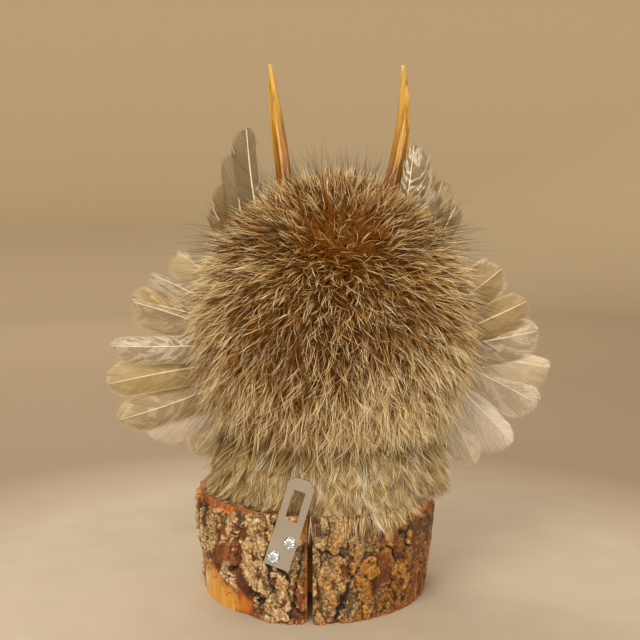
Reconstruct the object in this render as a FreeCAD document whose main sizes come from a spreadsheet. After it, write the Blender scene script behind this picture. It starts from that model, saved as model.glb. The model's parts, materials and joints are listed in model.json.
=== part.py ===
import FreeCAD, Part
import math
import os
import Sketcher
from FreeCAD import Placement, Rotation, Vector

# A horned, feathered fur figure on a slice of log, in millimetres.
# The origin is the centre of the log's underside, +Z is up, the face looks along -Y
# and +X is the figure's own left. The split and the hanger strap are on the +Y side.

doc = FreeCAD.newDocument("HornedFigure")
sheet = doc.addObject("Spreadsheet::Sheet", "Sizes")

SIZES = [
    # the log slice
    ("log_height", 63.0, "thickness of the log slice"),
    ("log_base_radius", 71.0, "radius of the underside, over the bark"),
    ("log_top_radius", 74.5, "radius of the top face, over the bark"),
    ("log_top_shift", 3.8, "how far the top face leans to the figure's right"),
    ("bark_thickness", 6.0, "thickness of the bark"),
    ("bark_gap", 0.2, "glue line between bark and wood"),
    ("bark_crack", 0.6, "width of the cracks between the bark sections, in degrees"),
    ("kerf_width", 3.4, "width of the radial split"),
    ("kerf_depth", 52.0, "depth of the radial split from the rim"),
    ("bare_patch_azimuth", 30.0, "where the bark has come away, in degrees from +X"),
    ("bare_patch_width", 46.0, "width of the bare patch"),
    ("bare_patch_height", 27.0, "height of the bare patch above the underside"),
    # the hanger strap and its screws
    ("plate_azimuth", 11.0, "turn of the strap's seat away from +Y, in degrees"),
    ("strap_bed", 0.35, "depth of the strap's flat seat, from the log's mean radius"),
    ("plate_side", 4.7, "sideways place of the strap's lower end"),
    ("plate_drop", 29.0, "lower end of the strap below the log's top"),
    ("plate_tilt", 17.5, "lean of the strap, in degrees"),
    ("plate_width", 15.0, "width of the strap"),
    ("plate_length", 54.0, "length of the strap"),
    ("plate_thickness", 1.4, "thickness of the strap"),
    ("plate_corner", 3.6, "cut corners at the upper end"),
    ("plate_bend_drop", 1.0, "bend below the log's top"),
    ("plate_bend", 8.0, "how far the upper half leans out, in degrees"),
    ("slot_width", 6.9, "width of the hanging slot"),
    ("slot_start", 28.3, "lower end of the slot, along the strap"),
    ("slot_length", 18.4, "length of the hanging slot"),
    ("screw_lower", 4.6, "lower screw, along the strap"),
    ("screw_upper", 15.2, "upper screw, along the strap"),
    ("screw_stagger", 3.1, "sideways place of the screws about the strap's middle"),
    ("screw_head_diameter", 7.5, "screw head"),
    ("screw_head_height", 2.4, "screw head"),
    ("screw_shank_diameter", 4.0, "screw shank"),
    ("screw_length", 25.0, "screw below its head"),
    ("screw_recess_width", 1.2, "arm of the cross recess"),
    ("screw_recess_length", 4.6, "span of the cross recess"),
    ("screw_recess_depth", 1.3, "depth of the cross recess"),
    ("screw_hole_gap", 0.25, "radial clearance of a screw in strap, bark and wood"),
    # the head form, the neck and the dowel that carries them
    ("head_side", 14.0, "how far the head sits to the figure's right"),
    ("head_forward", 2.0, "how far the head sits towards the face side"),
    ("head_rise", 97.0, "middle of the head form above the log's top"),
    ("head_half_width", 62.0, "head form, half width"),
    ("head_half_depth", 60.0, "head form, half depth"),
    ("head_half_height", 70.0, "head form, half height"),
    ("neck_radius", 35.0, "neck block"),
    ("dowel_diameter", 16.0, "dowel from the log into the head form"),
    ("dowel_log_depth", 30.0, "dowel in the log"),
    ("dowel_head_depth", 48.0, "dowel in the head form, from the neck up"),
    ("dowel_gap", 0.15, "radial glue gap round the dowel"),
    ("seat_gap", 0.3, "clearance between soft pieces and what they sit on"),
    # the three pelts
    ("fur_side", 25.0, "depth of the fur at the sides"),
    ("fur_back", 22.0, "depth of the fur at the back"),
    ("fur_half_height", 89.0, "fur ball, half height"),
    ("fur_lift", 8.0, "fur ball's middle above the head form's middle"),
    ("face_fur", 9.0, "depth of the short fur on the face"),
    ("back_room", 3.0, "room between the rearmost feathers and the back pelt"),
    ("face_room", 4.2, "room between the foremost feathers and the face pelt"),
    ("crown_room", 1.5, "room between a horn and the fur strip on the crown"),
    ("chin_half_width", 40.0, "half width of the fur strip under the chin"),
    ("chin_rise", 55.0, "top of the fur strip under the chin, above the log's top"),
    ("collar_base_radius", 68.0, "collar where it lies on the log"),
    ("collar_top_radius", 54.0, "collar under the head"),
    ("collar_side", 11.7, "how far the collar sits to the figure's right"),
    ("collar_height", 29.0, "height of the collar"),
    # the horns
    ("horn_spread", 26.0, "horn seat, sideways from the middle of the head"),
    ("horn_forward", 12.0, "horn seat, forward of the middle of the head"),
    ("horn_seat_depth", 8.0, "horn set into the head form"),
    ("horn_base_radius", 5.5, "horn at its seat"),
    ("horn_tip_radius", 0.9, "horn at its tip"),
    ("horn_length", 95.0, "horn above the head form"),
    ("horn_left_lean", 7.6, "lean of the left horn, in degrees"),
    ("horn_left_bow", 0.6, "bow of the left horn"),
    ("horn_right_lean", 9.4, "lean of the right horn, in degrees"),
    ("horn_right_bow", 6.6, "bow of the right horn"),
    ("horn_pin_diameter", 3.0, "steel pin in each horn"),
    ("horn_pin_up", 22.0, "pin in the horn"),
    ("horn_pin_down", 24.0, "pin in the head form below the horn"),
    ("horn_gap", 0.25, "glue gap round horn and pin"),
    # what all feathers share
    ("vane_thickness", 0.6, "blade of a feather"),
    ("shaft_radius", 0.7, "shaft of a feather"),
    ("shaft_bare", 12.0, "bare shaft between the head form and the blade"),
    ("quill_depth", 14.0, "quill in the head form"),
    ("quill_gap", 0.2, "radial clearance round a quill"),
    ("feather_bend_radius", 300.0, "curve of a feather along its length"),
    ("layer_pitch", 1.8, "step from one feather to the next, front to back"),
    ("ear_layer", -2.0, "rearmost layer of ear feathers"),
    ("fan_layer", -9.4, "rearmost layer of fan feathers"),
    # the face
    ("eye_radius", 9.5, "glass eye"),
    ("eye_rim", 2.5, "straight rim of the glass eye"),
    ("eye_spread", 23.0, "eye, sideways from the middle of the face"),
    ("eye_rise", 12.0, "eye, above the middle of the head"),
    ("eye_socket_depth", 3.0, "socket in the head form"),
    ("eye_wire_radius", 0.6, "wire behind the eye"),
    ("eye_wire_length", 16.0, "wire behind the eye"),
    ("eye_gap", 0.3, "clearance round the eye and its wire"),
    ("beak_drop", 10.0, "beak, below the middle of the head"),
    ("beak_base_radius", 8.0, "beak at its base"),
    ("beak_tip_radius", 1.2, "beak at its tip"),
    ("beak_length", 25.0, "beak in front of the head form"),
    ("beak_hook", 9.0, "drop of the beak's tip"),
    ("beak_seat_depth", 4.0, "beak set into the head form"),
    ("fur_gap", 1.0, "parting of the fur round eyes and beak"),
]

# Each feather: name, side (+1 left, -1 right), layer, quill height above the middle of the
# head, rise of the shaft in degrees, length, blade width, and how far the blade's middle
# lies below or outside the shaft.
FEATHERS = [
    ("ear_feather_left_1", 1, 0, 51.0, 85.0, 68.5, 14.5, 3.2),
    ("ear_feather_left_2", 1, 1, 40.0, 84.0, 64.5, 14.5, 1.5),
    ("ear_feather_left_3", 1, 2, 34.0, 79.0, 53.0, 14.0, 1.5),
    ("ear_feather_left_4", 1, 3, 27.0, 71.0, 47.0, 14.0, 0.0),
    ("ear_feather_right_1", -1, 0, 54.0, 84.0, 55.5, 14.0, 3.0),
    ("ear_feather_right_2", -1, 1, 45.0, 84.5, 52.5, 16.0, 2.5),
    ("ear_feather_right_3", -1, 2, 35.0, 78.5, 53.5, 16.0, 1.0),
    ("ear_feather_right_4", -1, 3, 28.0, 69.5, 48.0, 15.0, 0.0),
    ("fan_feather_left_1", 1, 6, 12.0, 41.0, 50.5, 17.0, 4.5),
    ("fan_feather_left_2", 1, 4, 1.0, 30.0, 61.0, 19.0, 5.0),
    ("fan_feather_left_3", 1, 1, -9.0, 21.0, 68.0, 20.0, 5.5),
    ("fan_feather_left_4", 1, 2, -2.0, 16.5, 67.5, 18.0, 2.0),
    ("fan_feather_left_5", 1, 0, -12.0, 1.0, 79.0, 18.0, 3.0),
    ("fan_feather_left_6", 1, 3, -24.0, -9.0, 88.5, 23.0, 1.0),
    ("fan_feather_left_7", 1, 5, -30.5, -19.0, 91.0, 21.5, 3.5),
    ("fan_feather_left_8", 1, 7, -32.0, -33.0, 80.0, 19.0, 1.0),
    ("fan_feather_left_9", 1, 8, -31.0, -58.0, 68.0, 20.0, -1.5),
    ("fan_feather_right_1", -1, 2, 2.0, 38.0, 54.0, 20.0, 1.5),
    ("fan_feather_right_2", -1, 0, -9.0, 24.0, 63.0, 22.0, 4.5),
    ("fan_feather_right_3", -1, 1, -15.0, 11.0, 68.5, 23.0, 4.5),
    ("fan_feather_right_4", -1, 3, -12.0, -15.0, 79.5, 22.0, -1.0),
    ("fan_feather_right_5", -1, 4, -17.0, -28.0, 81.0, 21.0, 1.5),
    ("fan_feather_right_6", -1, 5, -20.5, -47.0, 83.0, 22.0, 1.0),
    ("fan_feather_right_7", -1, 6, -26.0, -63.0, 77.0, 18.0, 0.0),
]

for row, (alias, value, note) in enumerate(SIZES, start=1):
    sheet.set(f"A{row}", note)
    sheet.set(f"B{row}", str(value))
    sheet.setAlias(f"B{row}", alias)
row = len(SIZES)
for name, side, layer, rise, angle, length, width, offset in FEATHERS:
    for suffix, value in (
        ("root_height", rise),
        ("angle", angle),
        ("length", length),
        ("width", width),
        ("offset", offset),
    ):
        row += 1
        sheet.set(f"A{row}", name.replace("_", " "))
        sheet.set(f"B{row}", str(value))
        sheet.setAlias(f"B{row}", f"{name}_{suffix}")
doc.recompute()


def size(alias):
    """A driving dimension, read from the sheet."""
    return float(sheet.get(alias))


def bind(item, **properties):
    """Bind an object's properties to expressions on the sheet's cells."""
    for name, expression in properties.items():
        item.setExpression(name.replace("__", "."), expression)
    return item


def add(kind, label, **properties):
    """A new document object whose sizes are bound to the sheet."""
    item = doc.addObject(kind, label)
    item.Label = label
    return bind(item, **properties)


def place(item, base=(0, 0, 0), rotation=None):
    item.Placement = Placement(Vector(*base), rotation or Rotation())
    return item


def cut(label, base, *tools):
    """What is left of a solid once the tools are taken away, one after another."""
    for number, tool in enumerate(tools, start=1):
        result = add("Part::Cut", label if number == len(tools) else f"{label}_cut_{number}")
        result.Base = base
        result.Tool = tool
        base = result
    return base


def common(label, first, second):
    result = add("Part::Common", label)
    result.Base = first
    result.Tool = second
    return result


def fuse(label, *shapes):
    result = add("Part::MultiFuse", label)
    result.Shapes = list(shapes)
    return result


def origin_plane(body, role):
    return next(item for item in body.Origin.OriginFeatures if item.Role == role)


def pin_point(sketch, index, position, x, y):
    """Fix one sketch point by two expressions, measured from the sketch's origin."""
    for kind, expression in (("DistanceX", x), ("DistanceY", y)):
        number = sketch.addConstraint(Sketcher.Constraint(kind, -1, 1, index, position, 1.0))
        label = f"{kind[-1].lower()}{number}"
        sketch.renameConstraint(number, label)
        sketch.setExpression(f"Constraints.{label}", expression)


def add_polygon(sketch, corners, start):
    """A closed outline whose corners are pairs of expressions."""
    first = sketch.GeometryCount
    count = len(corners)
    for index in range(count):
        a = start[index]
        b = start[(index + 1) % count]
        sketch.addGeometry(Part.LineSegment(Vector(a[0], a[1], 0), Vector(b[0], b[1], 0)), False)
    for index in range(count):
        following = first + (index + 1) % count
        sketch.addConstraint(Sketcher.Constraint("Coincident", first + index, 2, following, 1))
    for index, (x, y) in enumerate(corners):
        pin_point(sketch, first + index, 1, x, y)


def add_circle(sketch, x, y, radius):
    index = sketch.addGeometry(Part.Circle(Vector(0, 0, 0), Vector(0, 0, 1), 1.0), False)
    pin_point(sketch, index, 3, x, y)
    number = sketch.addConstraint(Sketcher.Constraint("Radius", index, 1.0))
    sketch.renameConstraint(number, f"radius{number}")
    sketch.setExpression(f"Constraints.radius{number}", radius)


def new_sketch(body, role, name, lift=None):
    sketch = body.newObject("Sketcher::SketchObject", name)
    sketch.AttachmentSupport = [(origin_plane(body, role), "")]
    sketch.MapMode = "FlatFace"
    if lift:
        sketch.setExpression("AttachmentOffset.Base.z", lift)
    return sketch


def evaluate(expression):
    """The value of an expression on the sheet's cells, for a sketch's first guess."""
    return float(sheet.evalExpression(expression.replace("Sizes.", "")))


def pad_outlines(body, role, name, outlines, length, circles=()):
    """A pad, half to each side of its plane, from closed outlines and round holes."""
    sketch = new_sketch(body, role, name + "_sketch")
    for corners in outlines:
        add_polygon(sketch, corners, [(evaluate(x), evaluate(y)) for x, y in corners])
    for x, y, radius in circles:
        add_circle(sketch, x, y, radius)
    doc.recompute()
    pad = body.newObject("PartDesign::Pad", name)
    pad.Profile = sketch
    pad.Midplane = True
    pad.setExpression("Length", length)
    return pad


def loft_of_circles(label, stations):
    """A body lofted through round sections: height, sideways place and radius of each."""
    body = add("PartDesign::Body", label)
    sketches = []
    for number, (lift, x, y, radius) in enumerate(stations):
        sketch = new_sketch(body, "XY_Plane", f"{label}_ring_{number}", lift)
        add_circle(sketch, x, y, radius)
        sketches.append(sketch)
    doc.recompute()
    loft = body.newObject("PartDesign::AdditiveLoft", label + "_loft")
    loft.Profile = sketches[0]
    loft.Sections = sketches[1:]
    return body


LOG_TOP = size("log_height")
HEAD = Vector(-size("head_side"), -size("head_forward"), LOG_TOP + size("head_rise"))
HALF = Vector(size("head_half_width"), size("head_half_depth"), size("head_half_height"))


def form_side(side, y, rise):
    """The point on one side of the head form at a place front to back and a height."""
    depth = ((y - HEAD.y) / HALF.y) ** 2
    height = (rise / HALF.z) ** 2
    return Vector(HEAD.x + side * HALF.x * math.sqrt(1 - depth - height), y, HEAD.z + rise)


def form_face(x, rise):
    """The point on the front of the head form, and the way that the surface faces there."""
    y = -HALF.y * math.sqrt(1 - (x / HALF.x) ** 2 - (rise / HALF.z) ** 2)
    normal = Vector(x / HALF.x**2, y / HALF.y**2, rise / HALF.z**2)
    return HEAD + Vector(x, y, rise), normal.normalize()


def form_top(x, y):
    """The point on top of the head form."""
    rise = HALF.z * math.sqrt(1 - (x / HALF.x) ** 2 - (y / HALF.y) ** 2)
    return HEAD + Vector(x, y, rise)


nodes = {}

# ---------------------------------------------------------------- hanger strap
# The strap's own frame: X across, Y out of the log, Z up. The sheet is bent along a level
# line at the log's rim, and the strap is cut from it at a slant.
strap_turn = Rotation(Vector(0, 0, 1), -size("plate_azimuth"))
mean_radius = (size("log_base_radius") + size("log_top_radius")) / 2
strap_seat = strap_turn.multVec(Vector(size("plate_side"), mean_radius - size("strap_bed"), 0))
strap_lean = Rotation(Vector(0, 1, 0), -size("plate_tilt"))
SHEET_REACH = "Sizes.plate_length"
BEND_RUN = f"{SHEET_REACH} * tan(Sizes.plate_bend)"

sheet_body = add("PartDesign::Body", "strap_sheet")
bend = "(Sizes.log_height - Sizes.plate_bend_drop)"
thick = "Sizes.plate_thickness"
pad_outlines(
    sheet_body,
    "YZ_Plane",
    "strap_sheet_pad",
    [
        [
            ("0", f"{bend} - {SHEET_REACH}"),
            (thick, f"{bend} - {SHEET_REACH}"),
            (thick, bend),
            (f"{thick} + {BEND_RUN}", f"{bend} + {SHEET_REACH}"),
            (BEND_RUN, f"{bend} + {SHEET_REACH}"),
            ("0", bend),
        ]
    ],
    "Sizes.plate_length",
)
sheet_body.Placement = Placement(strap_seat, strap_turn)

blank = add("PartDesign::Body", "strap_blank")
half = "Sizes.plate_width / 2"
slot_half = "Sizes.slot_width / 2"
slot_top = "Sizes.slot_start + Sizes.slot_length"
hole = "Sizes.screw_shank_diameter / 2 + Sizes.screw_hole_gap"
pad_outlines(
    blank,
    "XZ_Plane",
    "strap_blank_pad",
    [
        [
            (f"-{half}", "0"),
            (half, "0"),
            (half, "Sizes.plate_length - Sizes.plate_corner"),
            (f"{half} - Sizes.plate_corner", "Sizes.plate_length"),
            (f"-{half} + Sizes.plate_corner", "Sizes.plate_length"),
            (f"-{half}", "Sizes.plate_length - Sizes.plate_corner"),
        ],
        [
            (f"-{slot_half}", "Sizes.slot_start"),
            (slot_half, "Sizes.slot_start"),
            (slot_half, slot_top),
            (f"-{slot_half}", slot_top),
        ],
    ],
    SHEET_REACH,
    circles=[
        ("Sizes.screw_stagger", "Sizes.screw_lower", hole),
        ("-Sizes.screw_stagger", "Sizes.screw_upper", hole),
    ],
)
strap_foot = strap_seat + Vector(0, 0, size("log_height") - size("plate_drop"))
blank.Placement = Placement(strap_foot, strap_turn * strap_lean)
nodes["hanger_plate"] = common("hanger_plate", sheet_body, blank)


# ---------------------------------------------------------------- hanger screws
def screw(label, across, along):
    """A pan-head screw with a cross recess, its head on the strap."""
    body = add("PartDesign::Body", label)
    sketch = new_sketch(body, "XZ_Plane", label + "_profile")
    head = "Sizes.screw_head_diameter / 2"
    high = "Sizes.screw_head_height"
    shank = "Sizes.screw_shank_diameter / 2"
    deep = "Sizes.screw_length"
    corners = [
        ("0", high),
        (f"{head} * 0.55", high),
        (f"{head} * 0.9", f"{high} * 0.68"),
        (head, "0"),
        (shank, "0"),
        (shank, f"-{deep} * 0.86"),
        ("0", f"-{deep}"),
    ]
    add_polygon(sketch, corners, [(evaluate(x), evaluate(y)) for x, y in corners])
    doc.recompute()
    turned = body.newObject("PartDesign::Revolution", label + "_turned")
    turned.Profile = sketch
    turned.ReferenceAxis = (sketch, ["V_Axis"])
    turned.Angle = 360
    doc.recompute()
    recess_half = "Sizes.screw_recess_width / 2"
    span_half = "Sizes.screw_recess_length / 2"
    for name, wide, tall in (("slot_a", recess_half, span_half), ("slot_b", span_half, recess_half)):
        recess = new_sketch(body, "XY_Plane", f"{label}_{name}_sketch", high)
        corners = [(f"-{wide}", f"-{tall}"), (wide, f"-{tall}"), (wide, tall), (f"-{wide}", tall)]
        add_polygon(recess, corners, [(evaluate(x), evaluate(y)) for x, y in corners])
        doc.recompute()
        pocket = body.newObject("PartDesign::Pocket", f"{label}_{name}")
        pocket.Profile = recess
        pocket.setExpression("Length", "Sizes.screw_recess_depth")
    on_strap = strap_lean.multVec(Vector(across, 0, along))
    lift = Vector(0, size("plate_thickness"), 0)
    base = strap_foot + strap_turn.multVec(on_strap + lift)
    body.Placement = Placement(base, strap_turn * Rotation(Vector(1, 0, 0), -90))
    return body


nodes["hanger_screw_lower"] = screw(
    "hanger_screw_lower", size("screw_stagger"), size("screw_lower")
)
nodes["hanger_screw_upper"] = screw(
    "hanger_screw_upper", -size("screw_stagger"), size("screw_upper")
)


def screw_bore(label, body):
    """The hole that a screw makes through the bark and into the wood."""
    depth = "Sizes.screw_length + Sizes.plate_thickness"
    bore = add("Part::Cylinder", label, Radius=hole, Height=depth)
    bore.Placement = body.Placement * Placement(Vector(0, 0, -evaluate(depth)), Rotation())
    return bore


screw_bores = [
    screw_bore("screw_bore_lower", nodes["hanger_screw_lower"]),
    screw_bore("screw_bore_upper", nodes["hanger_screw_upper"]),
]


# ---------------------------------------------------------------- log and bark
LOG_OVERRUN = 12.0
log_lean = Rotation(Vector(0, 0, 1), Vector(-size("log_top_shift"), 0, LOG_TOP))
log_slab = add(
    "Part::Box",
    "log_slab",
    Length="Sizes.log_top_radius * 4",
    Width="Sizes.log_top_radius * 4",
    Height="Sizes.log_height",
)
slab_corner = "-Sizes.log_top_radius * 2"
bind(log_slab, Placement__Base__x=slab_corner, Placement__Base__y=slab_corner)


def slanted_drum(label, less):
    """The log's outline, drawn in by some thickness: a leaning cone sawn off level twice."""
    flare = f"(Sizes.log_top_radius - Sizes.log_base_radius) * {LOG_OVERRUN} / Sizes.log_height"
    cone = add(
        "Part::Cone",
        label + "_cone",
        Radius1=f"Sizes.log_base_radius - {flare} - {less}",
        Radius2=f"Sizes.log_top_radius + {flare} - {less}",
        Height=f"Sizes.log_height + 2 * {LOG_OVERRUN}",
    )
    cone.Placement = Placement(log_lean.multVec(Vector(0, 0, -LOG_OVERRUN)), log_lean)
    return common(label, cone, log_slab)


kerf = add(
    "Part::Box",
    "kerf",
    Length="Sizes.kerf_width",
    Width="Sizes.kerf_depth + 20",
    Height="Sizes.log_height + 2",
)
bind(
    kerf,
    Placement__Base__x="-Sizes.kerf_width / 2",
    Placement__Base__y="Sizes.log_base_radius - Sizes.kerf_depth",
    Placement__Base__z="-1",
)
dowel_bore = add(
    "Part::Cylinder",
    "dowel_bore",
    Radius="Sizes.dowel_diameter / 2 + Sizes.dowel_gap",
    Height="Sizes.dowel_log_depth + 1",
)
place(dowel_bore, (HEAD.x, HEAD.y, LOG_TOP - size("dowel_log_depth")))
core_blank = slanted_drum("log_core_blank", "(Sizes.bark_thickness + Sizes.bark_gap)")
nodes["log_core"] = cut("log_core", core_blank, kerf, dowel_bore, *screw_bores)

bark_inside = slanted_drum("bark_inside", "Sizes.bark_thickness")
bark_blank = cut("bark_blank", slanted_drum("bark_outside", "0"), bark_inside)
seat = add(
    "Part::Box",
    "strap_seat",
    Length="Sizes.plate_width * 3",
    Width="Sizes.bark_thickness * 3",
    Height="Sizes.log_height * 2",
)
seat_corner = strap_turn.multVec(Vector(-1.5 * size("plate_width"), 0, 0))
seat.Placement = Placement(strap_seat + seat_corner, strap_turn)
patch = add(
    "Part::Ellipsoid",
    "bare_patch",
    Radius1="Sizes.bare_patch_height",
    Radius2="Sizes.bark_thickness * 3",
    Radius3="Sizes.bare_patch_width / 2",
)
patch_turn = Rotation(Vector(0, 0, 1), size("bare_patch_azimuth"))
patch_out = patch_turn.multVec(Vector(size("log_base_radius"), 0, 0))
patch.Placement = Placement(patch_out, patch_turn)
KERF_AZIMUTH = 90.0
BARK_SECTIONS = [("bark_left", -14.0, KERF_AZIMUTH), ("bark_right", KERF_AZIMUTH, 196.0)]
BARK_SECTIONS += [("bark_front", 196.0, 346.0)]
for label, start, end in BARK_SECTIONS:
    crack = size("bark_crack") / 2
    wedge = add(
        "Part::Cylinder",
        label + "_wedge",
        Radius="Sizes.log_top_radius * 2",
        Height="Sizes.log_height",
    )
    wedge.Angle = end - start - 2 * crack
    wedge.Placement = Placement(Vector(), Rotation(Vector(0, 0, 1), start + crack))
    section = common(label + "_section", bark_blank, wedge)
    nodes[label] = cut(label, section, kerf, seat, patch, *screw_bores)

# ---------------------------------------------------------------- neck and head form
neck_foot = (HEAD.x, HEAD.y, LOG_TOP)
dowel_low = LOG_TOP - size("dowel_log_depth")
neck_height = "(Sizes.head_rise - Sizes.head_half_height)"
dowel = add(
    "Part::Cylinder",
    "neck_dowel",
    Radius="Sizes.dowel_diameter / 2",
    Height=f"Sizes.dowel_log_depth + {neck_height} + Sizes.dowel_head_depth",
)
nodes["neck_dowel"] = place(dowel, (HEAD.x, HEAD.y, dowel_low + size("dowel_gap")))


SEAM_BACK = Rotation(Vector(0, 0, 1), 90)


def form_ellipsoid(label, more="0"):
    """The head form's outline, let out by some thickness, with its seam down the back."""
    item = add(
        "Part::Ellipsoid",
        label,
        Radius1=f"Sizes.head_half_height + {more}",
        Radius2=f"Sizes.head_half_depth + {more}",
        Radius3=f"Sizes.head_half_width + {more}",
    )
    return place(item, HEAD, SEAM_BACK)


through_bore = add(
    "Part::Cylinder",
    "dowel_head_bore",
    Radius="Sizes.dowel_diameter / 2 + Sizes.dowel_gap",
    Height=f"{neck_height} + Sizes.dowel_head_depth + 2 * Sizes.dowel_gap",
)
place(through_bore, neck_foot)
neck_block = add("Part::Cylinder", "neck_block", Radius="Sizes.neck_radius", Height="Sizes.head_rise")
place(neck_block, neck_foot)
nodes["neck_form"] = cut(
    "neck_form", neck_block, form_ellipsoid("neck_saddle", "Sizes.seat_gap"), through_bore
)


# ---------------------------------------------------------------- horns and pins
def horn(side, word, lean, bow):
    """A tapered tine, its foot in the head form and bored for its pin."""
    whole = "(Sizes.horn_length + Sizes.horn_seat_depth)"
    taper = [(0.0, 1.0), (0.3, 0.95), (0.55, 0.82), (0.8, 0.55), (0.93, 0.3)]
    stations = []
    for share, fraction in taper:
        shift = f"{side} * Sizes.{bow} * {4 * share * (1 - share):.3f}"
        stations.append((f"{whole} * {share}", shift, "0", f"Sizes.horn_base_radius * {fraction}"))
    stations.append((whole, "0", "0", "Sizes.horn_tip_radius"))
    blank = loft_of_circles(f"horn_{word}_blank", stations)
    top = form_top(side * size("horn_spread"), -size("horn_forward"))
    turn = Rotation(Vector(0, 1, 0), side * size(lean))
    foot = top - turn.multVec(Vector(0, 0, size("horn_seat_depth")))
    blank.Placement = Placement(foot, turn)
    down = turn.multVec(Vector(0, 0, -size("horn_pin_down")))
    pin = add(
        "Part::Cylinder",
        f"horn_pin_{word}",
        Radius="Sizes.horn_pin_diameter / 2",
        Height="Sizes.horn_pin_down + Sizes.horn_pin_up",
    )
    pin.Placement = Placement(foot + down, turn)
    bore = add(
        "Part::Cylinder",
        f"horn_bore_{word}",
        Radius="Sizes.horn_pin_diameter / 2 + Sizes.horn_gap",
        Height="Sizes.horn_pin_down + Sizes.horn_pin_up + 2 * Sizes.horn_gap",
    )
    spare = turn.multVec(Vector(0, 0, -size("horn_gap")))
    bore.Placement = Placement(foot + down + spare, turn)
    loose = [(lift, x, y, f"{radius} + Sizes.horn_gap") for lift, x, y, radius in stations]
    seat_bore = loft_of_circles(f"horn_{word}_seat", loose)
    seat_bore.Placement = Placement(foot + spare, turn)
    nodes[f"horn_{word}"] = cut(f"horn_{word}", blank, bore)
    nodes[f"horn_pin_{word}"] = pin
    return [bore, seat_bore]


form_bores = [through_bore]
form_bores += horn(1, "left", "horn_left_lean", "horn_left_bow")
form_bores += horn(-1, "right", "horn_right_lean", "horn_right_bow")


# ---------------------------------------------------------------- feathers
def feather(name, side, layer):
    """A blade bent along its length, with a shaft that runs on as a quill in the head form.

    Its own frame has the shaft along X and the blade's width along Y; Z is the hollow side,
    which faces forward on the figure.
    """
    length = f"Sizes.{name}_length"
    radius = "Sizes.feather_bend_radius"
    half_vane = f"({length} - Sizes.shaft_bare) / 2"
    oval = add(
        "Part::Ellipse",
        name + "_oval",
        MajorRadius=half_vane,
        MinorRadius=f"Sizes.{name}_width / 2",
    )
    bind(
        oval,
        Placement__Base__x=f"({length} + Sizes.shaft_bare) / 2",
        Placement__Base__y=f"{-side} * Sizes.{name}_offset",
    )
    prism = add("Part::Extrusion", name + "_prism")
    prism.Base = oval
    prism.DirMode = "Custom"
    prism.Dir = Vector(0, 0, 1)
    prism.Solid = True
    bind(prism, LengthFwd=f"{radius} / 4", LengthRev="Sizes.vane_thickness * 2")
    rolls = []
    for word, sign in (("outside", "+"), ("inside", "-")):
        roll = add(
            "Part::Cylinder",
            f"{name}_{word}",
            Radius=f"{radius} {sign} Sizes.vane_thickness / 2",
            Height=f"Sizes.{name}_width * 2",
        )
        centre = Vector(0, size(f"{name}_width"), size("feather_bend_radius"))
        roll.Placement = Placement(centre, Rotation(Vector(1, 0, 0), 90))
        rolls.append(roll)
    vane = common(name + "_vane", cut(name + "_roll", *rolls), prism)
    shaft = add(
        "Part::Torus",
        name + "_shaft",
        Radius1=radius,
        Radius2="Sizes.shaft_radius",
        Angle3=f"{length} / {radius} * 180 / pi",
    )
    centre = Vector(0, 0, size("feather_bend_radius"))
    shaft_turn = Rotation(Vector(0, 0, -1), Vector(1, 0, 0), Vector(0, -1, 0), "XYZ")
    shaft.Placement = Placement(centre, shaft_turn)
    quill = add(
        "Part::Cylinder", name + "_quill", Radius="Sizes.shaft_radius", Height="Sizes.quill_depth"
    )
    quill.Placement = Placement(Vector(), Rotation(Vector(0, 1, 0), -90))
    whole = fuse(name, vane, shaft, quill)

    first = "ear_layer" if name.startswith("ear") else "fan_layer"
    y = size(first) - layer * size("layer_pitch")
    root = form_side(side, y, size(name + "_root_height"))
    rise = math.radians(size(name + "_angle"))
    along = Vector(side * math.cos(rise), 0, math.sin(rise))
    hollow = Vector(0, -1, 0)
    turn = Rotation(along, hollow.cross(along), hollow, "XZY")
    whole.Placement = Placement(root, turn)
    bore = add(
        "Part::Cylinder",
        name + "_bore",
        Radius="Sizes.shaft_radius + Sizes.quill_gap",
        Height="Sizes.quill_depth + Sizes.shaft_bare / 2",
    )
    deep = root - along * (size("quill_depth") + size("quill_gap"))
    bore.Placement = Placement(deep, Rotation(Vector(0, 0, 1), along))
    nodes[name] = whole
    return bore


for name, side, layer, *_ in FEATHERS:
    form_bores.append(feather(name, side, layer))


# ---------------------------------------------------------------- eyes and beak
PARTING_REACH = "Sizes.face_fur * 4"


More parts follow.
